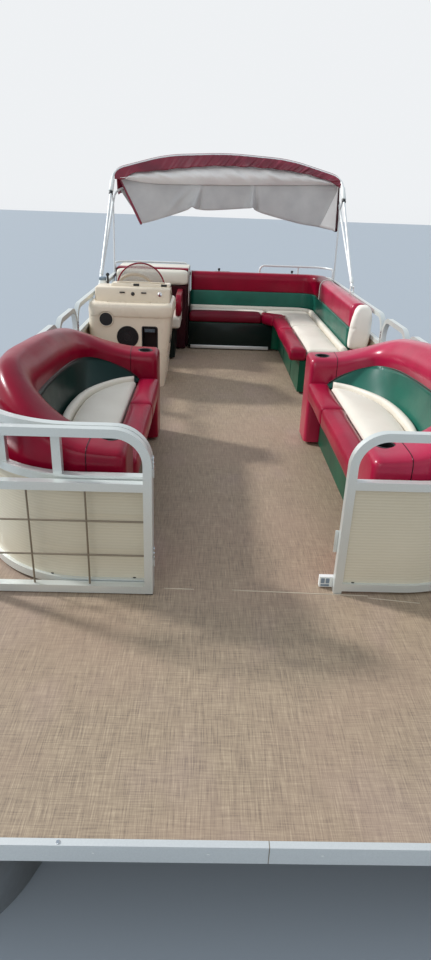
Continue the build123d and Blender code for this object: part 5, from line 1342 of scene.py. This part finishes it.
BAND_LOW = profile_of(((-1.20, 1.668), (-1.10, 1.672), (-0.993, 1.736), (-0.738, 1.771), (-0.484, 1.803),
                       (-0.157, 1.836), (0.134, 1.841), (0.481, 1.830), (0.758, 1.801), (0.944, 1.762),
                       (1.08, 1.722), (1.20, 1.655)))
FOLD_LOW = profile_of(((-1.18, 1.690), (-1.079, 1.673), (-0.85, 1.647), (-0.611, 1.644), (-0.261, 1.649),
                       (0.089, 1.657), (0.402, 1.668), (0.772, 1.681), (1.048, 1.692), (1.18, 1.700)))
HEM = profile_of(((-1.15, 1.215), (-0.915, 1.241), (-0.669, 1.311), (-0.440, 1.388), (-0.378, 1.425),
                  (-0.320, 1.402), (-0.161, 1.396), (0.233, 1.430), (0.289, 1.442), (0.330, 1.412),
                  (0.445, 1.374), (0.793, 1.298), (1.006, 1.270), (1.182, 1.240)))
CRINKLES = ((0.012, 21, 0.4), (0.011, 34, 1.9), (0.007, 61, 0.2))
CREASES = ((0.020, 8.0, 0.3), (0.016, 13.5, 1.2), (0.008, 27, 0.6))
# Where each pleat meets the hem, and how far it leans to port at its top
PLEATS = ((-0.365, 0.085), (0.270, 0.020))
# How far the loop slants at its starboard edge, and the x from which its port edge swings forward at the hem
STARBOARD_SLANT = 0.225
FLAP_START = 0.95


def ridges(x, seeds):
    """A sum of sharp creases: narrow crests with slack hollows between."""
    return sum(a * (1 - abs(math.sin(k * x + p))) ** 2 for a, k, p in seeds)


def front_band(x):
    """Burgundy: from behind the main bow, over it and down its front side, crinkled."""
    y, z = main_bow(x)
    route = []
    tube_radius = 0.0145
    for k in range(7):
        turn = math.radians(60 + 120 * k / 6)
        route.append((x, y + 0.010 + tube_radius * math.cos(turn) * 1.3,
                      z + tube_radius * math.sin(turn) + 0.001))
    low = min(BAND_LOW(x), z - 0.03)
    lively = 0.25 + 1.35 * float(np.clip((x + 0.45) / 0.5, 0, 1))
    for k in range(1, 13):
        s = k / 12
        crease = ridges(x + 0.10 * s, CRINKLES) * lively * math.sin(math.pi * (0.1 + 0.62 * s))
        route.append((x, y - 0.013 - crease - 0.030 * s, z + (low - z) * s + 0.003 * math.sin(31 * x) * s))
    return route


def first_fold(x):
    """Pale: the lining, from behind the band's hem to the fold's lower edge and back to the rear bow."""
    y0, z0 = main_bow(x)
    y1, _ = rear_bow(x)
    low = FOLD_LOW(x)
    top = min(BAND_LOW(x) + 0.025, z0 - 0.012)
    route = []
    for k in range(17):
        s = k / 16
        belly = 0.042 * math.sin(math.pi * s ** 1.3) ** 1.3
        crease = ridges(x - 0.28 * s, CREASES) * math.sin(math.pi * s) ** 1.5
        route.append((x, y0 + 0.014 + 0.020 * s * s - belly - crease, top + (low - top) * s))
    for k in range(1, 7):
        s = k / 6
        route.append((x, y0 + 0.034 + (y1 - y0 - 0.034) * s, low + 0.022 * s + 0.008 * math.sin(math.pi * s)))
    return route


def hanging_loop(x):
    """Pale: the sheet that hangs from behind the fold to its hem and comes up again to the rear bow."""
    y0, _ = main_bow(x)
    y1, z1 = rear_bow(x)
    slant = STARBOARD_SLANT * float(np.clip((-0.45 - x) / 0.70, 0, 1)) ** 1.5
    start = FOLD_LOW(x) + 0.014
    hem = HEM(x + slant) + 0.006
    front = y0 + 0.050
    route = []
    for k in range(21):
        s = k / 20
        across = x + slant * s
        pleat = sum(math.exp(-((across - p - lean * (1 - s)) / (0.010 + 0.030 * s)) ** 2)
                    - 0.4 * math.exp(-((across - p - lean * (1 - s) - 0.030 - 0.035 * s) / 0.018) ** 2)
                    for p, lean in PLEATS)
        sway = (0.016 * math.sin(5.3 * x + 0.5) + 0.010 * math.sin(11 * x + 2.0)) * s
        diagonal = 0.020 * math.exp(-((across - (-0.36 - 0.30 * s)) / 0.05) ** 2) * math.sin(math.pi * s)
        fold_line = FLAP_START + 0.23 * (1 - s)
        flap = 0.30 * max(0.0, across - fold_line) * min(1.0, 2 * s)
        place = front - 0.02 * math.sin(math.pi * s * 0.5) + sway - 0.105 * pleat * s - diagonal - flap
        route.append((across, place, start + (hem - start) * s))
    depth = 0.10
    for k in range(1, 8):
        turn = math.pi * k / 8
        route.append((x + slant, route[20][1] + depth / 2 * (1 - math.cos(turn)),
                      hem - 0.006 * math.sin(turn)))
    back = route[20][1] + depth
    for k in range(1, 13):
        s = k / 12
        route.append((x + slant * (1 - s), back + (y1 + 0.01 - back) * s, hem + (z1 - 0.005 - hem) * s))
    return route


def over_rear(x):
    """Burgundy: the outside of the cloth where it lies over the rear bow and down behind."""
    y, z = rear_bow(x)
    y0, z0 = main_bow(x)
    drop = 0.20 - 0.15 * float(np.clip((abs(x) - 0.85) / 0.3, 0, 1))
    route = []
    for k in range(9):
        s = k / 8
        sag = 0.035 * math.sin(math.pi * s)
        route.append((x, y0 + 0.02 + (y - y0 - 0.02) * s + sag * 0.6,
                      z0 - 0.005 + (z + 0.016 - z0 + 0.005) * s - sag))
    for k in range(1, 11):
        s = k / 10
        crease = ridges(x + 0.1 * s, CRINKLES) * s
        route.append((x, y + 0.017 + crease + 0.050 * math.sqrt(s), z + 0.014 - drop * s))
    return route


def folded_flap(share):
    """Pale: the loop's port edge folded over to the front, narrow at its top; share runs across it."""
    route = []
    for k in range(21):
        s = k / 20
        inner = min(1.170, 1.205 - 0.181 * s)
        x = inner + (1.186 - inner) * share
        _, y, z = hanging_loop(min(x, LOOP_ENDS[1]))[k]
        route.append((x, y - 0.005 - 0.030 * share * s, z + 0.004 - 0.012 * share * s))
    return route


# Sleeves on the main bow's legs: name, distances from the pivot, radius, look
LEG_SLEEVES = (("top_sleeve", 1.14, 1.30, 0.0240, "white_plastic"),
               ("top_clamp", 1.100, 1.132, 0.0200, "black"),
               ("top_foot_socket", 0.045, 0.115, 0.0175, "white_plastic"))
SLEEVE_BORE = 0.0127


def leg_sleeve(name, low, high, x, radius, look):
    """A moulded sleeve round a leg of the main bow, with eased ends."""
    way = (0, math.cos(MAIN_LEAN), math.sin(MAIN_LEAN))
    place = (x, TOP_FOOT_Y + low * way[1], TOP_PIVOT_Z + low * way[2])
    length = high - low
    steps = [(0.0, SLEEVE_BORE), (0.0, radius - 0.002), (0.003, radius), (length - 0.003, radius),
             (length, radius - 0.002), (length, SLEEVE_BORE)]
    return turned(name, place, way, steps, look, 20)


def top_fittings():
    for side, sign in SIDES:
        for name, low, high, radius, look in LEG_SLEEVES:
            piece = leg_sleeve(f"{name}_{side}", low, high, sign * BOW_HALF, radius, look)
            finish_piece(piece, "sun_top")


def sun_top():
    columns = np.linspace(*LOOP_ENDS, 221)
    band = cloth_grid("top_band", np.linspace(-1.183, 1.183, 301), front_band, "canvas_red")
    # The fold and the flap take a brighter copy of the pale canvas, painted light; the loop a darker copy,
    # painted shade
    fold = cloth_grid("top_fold", np.linspace(-1.17, 1.17, 241), first_fold, "canvas_painted_lit")
    loop = cloth_grid("top_loop", columns, hanging_loop, "canvas_painted_shade")
    rear = cloth_grid("top_rear", np.linspace(-1.175, 1.175, 189), over_rear, "canvas_red")
    flap = cloth_grid("top_flap", np.linspace(0, 1, 13), folded_flap, "canvas_painted_lit")
    for piece in (band, fold, loop, rear, flap):
        finish_piece(piece, "sun_top", ("top_cloth",))
    for end, name in ((columns[-1], "port"), (columns[0], "starboard")):
        outward = math.copysign(0.004, end)
        edge = [at(x + outward, y - (0.030 * k / 20 if end > 0 and k < 21 else 0.0), z)
                for k, (x, y, z) in enumerate(hanging_loop(end)[:30])]
        # The port binding is darker than the starboard one: painted shade
        binding = tube(f"top_binding_{name}", edge,
                       lambda s: 0.006 + 0.008 * math.sin(math.pi * min(1.0, s * 0.9)),
                       "burgundy_dark" if end > 0 else "canvas_red", sides=10)
        finish_piece(binding, "sun_top")
    top_fittings()


sun_top()


# Small fittings on the deck, fence, gates, hull and outboard
TILT_AXIS = (6.080, 0.125)
TILT_PARKED = math.radians(62)
GATE_BORDER = 0.044
ROD_LEVELS = (0.055, 0.477)
HINGE_PINS = ((-0.383, -0.0205, "front_gate"), (1.1845, 2.618, "port_gate"),
              (-1.1845, 2.618, "starboard_gate"))
HINGE_FEET = (0.150, 0.560)
TUBE_PLACE = (0.930, -0.435)
TUBE_BANDS = (-0.575, 0.66, 1.90, 3.14, 4.38, 5.60)
# Pale bead lines where the deck sheet is joined: from, to, radius
DECK_BEADS = (((-0.050, -0.010), (0.534, -0.030), 0.0022), ((-0.343, -0.007), (-0.213, -0.010), 0.0020),
              ((0.528, -0.044), (0.744, -0.074), 0.0016), ((-0.559, 1.940), (-0.502, 1.944), 0.0018))
# Bolt heads on the bottom rail, port side: at the front and its bend; then every so far along the side
FRONT_BOLTS = ((0.468, 0.000), (0.820, 0.020), (1.150, 0.300))
SIDE_BOLTS = (0.75, 1.30, 1.90, 2.75, 3.40, 4.05, 4.70)
STERN_BOLTS = (0.30, 0.80)
SIDE_RAIL_X, STERN_RAIL_Y, RAIL_FACE_Z = 1.205, 5.130, 0.0475
ROLL_KNOBS = (0.777, -0.057)
# Recesses in the front catch: x from, to, z from, to
CATCH_SLOTS = ((0.336, 0.352, 0.026, 0.050), (0.357, 0.373, 0.026, 0.050), (0.336, 0.373, 0.011, 0.020))
# Seam lines round the outboard: node, height from the tilt axis when upright, radius, look
MOTOR_SEAMS = (("engine_cowl", 0.148, 0.0042, "casting"), ("engine_cowl", 0.092, 0.0026, "black"),
               ("drive_leg", -0.200, 0.0026, "casting"), ("drive_leg", -0.430, 0.0026, "casting"))
# The vents in the cowl's sides: heights, least distance from the middle, and their range aft of the tilt axis
VENT_LEVELS = (0.270, 0.288, 0.306, 0.324)
VENT_SIDE = 0.05
VENT_REACH = (0.25, 0.37)


def gate_rods():
    """The rods inside the gates' frames in their own brown-grey."""
    for node, axis in (("gate_front", 0), ("gate_port", 1), ("gate_starboard", 1)):
        mesh = NODES[node].data
        mesh.materials.append(LOOKS["rod"])
        low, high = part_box(node)
        for face in mesh.polygons:
            centre = NODES[node].matrix_world @ face.center
            level = centre.z - DECK_Z
            inside = low[axis] + GATE_BORDER < centre[axis] < high[axis] - GATE_BORDER
            if inside and ROD_LEVELS[0] < level < ROD_LEVELS[1]:
                face.material_index = 1


def bolt(x, y, z, axis, radius=0.007, height=0.0035, look="black"):
    return drum("bolt", (x, y, z), axis, radius, height, look, 14, 0.001)


def fence_fittings():
    for side, sign in SIDES:
        places = [*FRONT_BOLTS, *((SIDE_RAIL_X, y) for y in SIDE_BOLTS),
                  *((x, STERN_RAIL_Y) for x in STERN_BOLTS)]
        heads = joined(f"rail_bolts_{side}", [bolt(sign * x, y, RAIL_FACE_Z, (0, 0, 1)) for x, y in places])
        finish_piece(heads, "boat")
    for x, y, body in HINGE_PINS:
        rings = []
        for foot in HINGE_FEET:
            rings += [drum("ring", (x, y, foot + up), (0, 0, 1), 0.0046, 0.013, "chrome", 20, 0.0008)
                      for up in (0.004, 0.0235, 0.043)]
            rings += [drum("pin", (x, y, foot + 0.059), (0, 0, 1), 0.0034, 0.004, "chrome", 16, 0.001)]
        finish_piece(joined(f"hinge_rings_{body}", rings), body)
    foot = box("gate_foot_pad", -0.420, -0.386, -0.056, -0.028, 0.0012, 0.0062, "black", 0.001)
    finish_piece(foot, "front_gate")
    strike = [box("strike", 0.371, 0.402, 0.0190, 0.0230, 0.185, 0.290, "rail", 0.0015),
              *(bolt(0.394, 0.0176, z, (0, 1, 0), 0.004, 0.0064, "chrome") for z in (0.215, 0.262))]
    finish_piece(joined("strike_plate", strike), "boat")
    latch = [box("latch", -1.143, -1.114, -0.0625, -0.0588, 0.305, 0.355, "chrome", 0.0012),
             bolt(-1.128, -0.0625, 0.330, (0, -1, 0), 0.007, 0.004, "chrome")]
    finish_piece(joined("gate_latch", latch), "front_gate")
    node = NODES["gate_catches"]
    catches = new_mesh("catch_shells", [node.matrix_world @ v.co for v in node.data.vertices],
                       [p.vertices for p in node.data.polygons], "white_plastic", smooth=False)
    cutters = [box("slot", x0, x1, 0.0100, 0.0215, z0, z1, "grey", 0.0) for x0, x1, z0, z1 in CATCH_SLOTS]
    finish_piece(bored(catches, cutters), "boat", ("gate_catches",))
    floors = [box("slot_floor", x0 + 0.0002, x1 - 0.0002, 0.0207, 0.0225, z0 + 0.0002, z1 - 0.0002,
                  "grey", 0.0)
              for x0, x1, z0, z1 in CATCH_SLOTS]
    finish_piece(joined("catch_slot_floors", floors), "boat")


def deck_fittings():
    beads = [tube("bead", [at(*a, 0.0006), at(*b, 0.0006)], radius, "bead", sides=8)
             for a, b, radius in DECK_BEADS]
    finish_piece(joined("deck_beads", beads), "boat")
    rivets = [bolt(x, y, -0.027, (0, way, 0), 0.0045, 0.0016, "trim")
              for y, way in ((-1.1497, -1), (5.7497, 1)) for x in np.arange(-1.05, 1.06, 0.30)]
    rivets.append(bolt(-0.541, -1.141, 0.0028, (0, 0, 1), 0.006, 0.003, "chrome"))
    rivets.append(box("joint", 0.0078, 0.0100, -1.1508, -1.1300, -0.058, 0.0034, "rod", 0.0))
    finish_piece(joined("trim_rivets", rivets), "boat")
    for k, x in enumerate(ROLL_KNOBS):
        profile = [(0, 0.010), (0.010, 0.010), (0.012, 0.014), (0.026, 0.014), (0.030, 0.009)]
        knob = turned(f"roll_knob_{k}", (x, 5.088, ROLL_HIGH - 0.012), (0, 0, 1), profile, "black", 20)
        finish_piece(knob, "boat")


def hull_fittings():
    for side, sign in SIDES:
        x, z = sign * TUBE_PLACE[0], TUBE_PLACE[1]
        bands = [turned("band", (x, y, z), (0, 1, 0),
                        [(0, 0.3046), (0.003, 0.3072), (0.015, 0.3072), (0.018, 0.3046)], "tube", 96)
                 for y in TUBE_BANDS]
        plug = turned("plug", (x, 5.668, -0.705), (0, 1, 0),
                      [(0, 0.016), (0.006, 0.016), (0.007, 0.009), (0.016, 0.009)], "chrome", 12)
        finish_piece(joined(f"tube_bands_{side}", [*bands, plug]), "boat")
    corners = ((4.755, -0.100), (5.118, -0.468), (6.020, -0.468), (6.020, -0.100))
    welds = [tube("weld", [at(sign * 0.2595, *p) for p in corners], 0.0035, "tube", sides=8)
             for _, sign in SIDES]
    finish_piece(joined("pod_welds", welds), "boat")


def motor(x, y, z):
    """A point given from the tilt axis with the outboard upright, moved to the parked tilt."""
    c, s = math.cos(TILT_PARKED), math.sin(TILT_PARKED)
    return x, TILT_AXIS[0] + y * c - z * s, TILT_AXIS[1] + y * s + z * c


def upright(point):
    """A row frame point as seen from the tilt axis with the outboard upright."""
    return Matrix.Rotation(-TILT_PARKED, 4, "X") @ (point - at(0, *TILT_AXIS))


def outline(node, level):
    """The longest outline of an outboard piece at one height, with the outboard upright."""
    work = bmesh.new()
    work.from_mesh(NODES[node].data)
    work.transform(NODES[node].matrix_world)
    bmesh.ops.remove_doubles(work, verts=work.verts[:], dist=2e-5)
    normal = Vector((0, -math.sin(TILT_PARKED), math.cos(TILT_PARKED)))
    cut = bmesh.ops.bisect_plane(work, geom=work.verts[:] + work.edges[:] + work.faces[:],
                                 plane_co=at(*motor(0, 0, level)), plane_no=normal)["geom_cut"]
    near = {}
    for edge in (e for e in cut if isinstance(e, bmesh.types.BMEdge)):
        first, second = edge.verts
        near.setdefault(first, []).append(second)
        near.setdefault(second, []).append(first)
    loops = []
    while near:
        here = next(iter(near))
        loop = []
        while here in near:
            loop.append(here.co.copy())
            here = next((v for v in near.pop(here) if v in near), None)
        loops.append(loop)
    work.free()
    return max(loops, key=len)


def outboard_fittings():
    seams = []
    for node, level, radius, look in MOTOR_SEAMS:
        ring = outline(node, level)
        loop = even(np.array([tuple(p) for p in [*ring, ring[0]]]), 120)[:-1]
        seams.append(tube("seam", [Vector(p) for p in loop], radius, look, closed=True, sides=8))
    for level in VENT_LEVELS:
        ring = outline("engine_cowl", level)
        for _, sign in SIDES:
            part = sorted((p for p in ring if upright(p).x * sign > VENT_SIDE
                           and VENT_REACH[0] < upright(p).y < VENT_REACH[1]), key=lambda p: upright(p).y)
            if len(part) > 2:
                seams.append(tube("vent", part, 0.0038, "black", sides=8))
    finish_piece(joined("outboard_seams", seams), "outboard")


gate_rods()
fence_fittings()
deck_fittings()
hull_fittings()
outboard_fittings()


# Light, floor and background. The ramps run from straight down, 0, over the horizon, 0.5, to overhead, 1
FLOOR_HALF = 60
FLOOR_COLOUR = (0.36, 0.40, 0.44, 1)
FLOOR_ROUGH = 0.9
SKY_STRENGTH = 0.84
# The light: a dark band at the horizon, a bright sky overhead and soft light for views from below
LIGHTING = ((0.0, (0.62, 0.68, 0.72, 1)), (0.45, (0.40, 0.45, 0.47, 1)), (0.5, (0.10, 0.13, 0.13, 1)),
            (0.55, (0.14, 0.17, 0.16, 1)), (0.62, (0.52, 0.58, 0.62, 1)), (1.0, (0.92, 1.0, 1.10, 1)))
# What the camera, gloss and glass see: pale round the horizon, deeper overhead
BACKDROP = ((0.0, (0.50, 0.54, 0.57, 1)), (0.5, (0.86, 0.88, 0.90, 1)), (0.62, (0.86, 0.88, 0.90, 1)),
            (0.72, (0.50, 0.56, 0.62, 1)), (1.0, (0.46, 0.53, 0.62, 1)))
# Lamps: name, direction towards it, strength, spread in degrees
LAMPS = (("key", (-0.76, 0.34, 0.56), 2.9, 6), ("fill", (-0.30, -0.85, 0.42), 0.45, 35))


def make_floor():
    corners = [(x * FLOOR_HALF, y * FLOOR_HALF, WATERLINE) for x, y in ((-1, -1), (1, -1), (1, 1), (-1, 1))]
    floor = new_mesh("floor", corners, [(0, 1, 2, 3)], "white_plastic", smooth=False)
    look = bpy.data.materials.new("floor")
    look.use_nodes = True
    shader = look.node_tree.nodes["Principled BSDF"]
    shader.inputs["Base Color"].default_value = FLOOR_COLOUR
    shader.inputs["Roughness"].default_value = FLOOR_ROUGH
    floor.data.materials.clear()
    floor.data.materials.append(look)


def make_world():
    world = bpy.data.worlds.new("world")
    world.use_nodes = True
    bpy.context.scene.world = world
    nodes, links = world.node_tree.nodes, world.node_tree.links

    def calculated(operation, first, second):
        node = nodes.new("ShaderNodeMath")
        node.operation = operation
        links.new(first, node.inputs[0])
        if isinstance(second, float):
            node.inputs[1].default_value = second
        else:
            links.new(second, node.inputs[1])
        return node

    direction = nodes.new("ShaderNodeTexCoord")
    split = nodes.new("ShaderNodeSeparateXYZ")
    links.new(direction.outputs["Generated"], split.inputs[0])
    height = calculated("MULTIPLY_ADD", split.outputs["Z"], 0.5)
    height.inputs[2].default_value = 0.5
    light = nodes["Background"]
    light.inputs["Strength"].default_value = SKY_STRENGTH
    seen = nodes.new("ShaderNodeBackground")
    for stops, shown in ((LIGHTING, light), (BACKDROP, seen)):
        links.new(colour_ramp(world.node_tree, height.outputs[0], stops), shown.inputs["Color"])
    path = nodes.new("ShaderNodeLightPath")
    clear = calculated("MAXIMUM", path.outputs["Is Glossy Ray"], path.outputs["Is Transmission Ray"])
    either = calculated("MAXIMUM", path.outputs["Is Camera Ray"], clear.outputs[0])
    choose = nodes.new("ShaderNodeMixShader")
    for source, socket in zip((either, light, seen), choose.inputs):
        links.new(source.outputs[0], socket)
    links.new(choose.outputs[0], nodes["World Output"].inputs["Surface"])


def make_lamps():
    for name, toward, strength, spread in LAMPS:
        data = bpy.data.lights.new(name, "SUN")
        data.energy = strength
        data.angle = math.radians(spread)
        lamp = bpy.data.objects.new(name, data)
        lamp.rotation_mode = "QUATERNION"
        lamp.rotation_quaternion = Vector(toward).to_track_quat("Z", "Y")
        bpy.context.scene.collection.objects.link(lamp)


make_floor()
make_world()
make_lamps()
bpy.context.scene.view_settings.view_transform = "Standard"
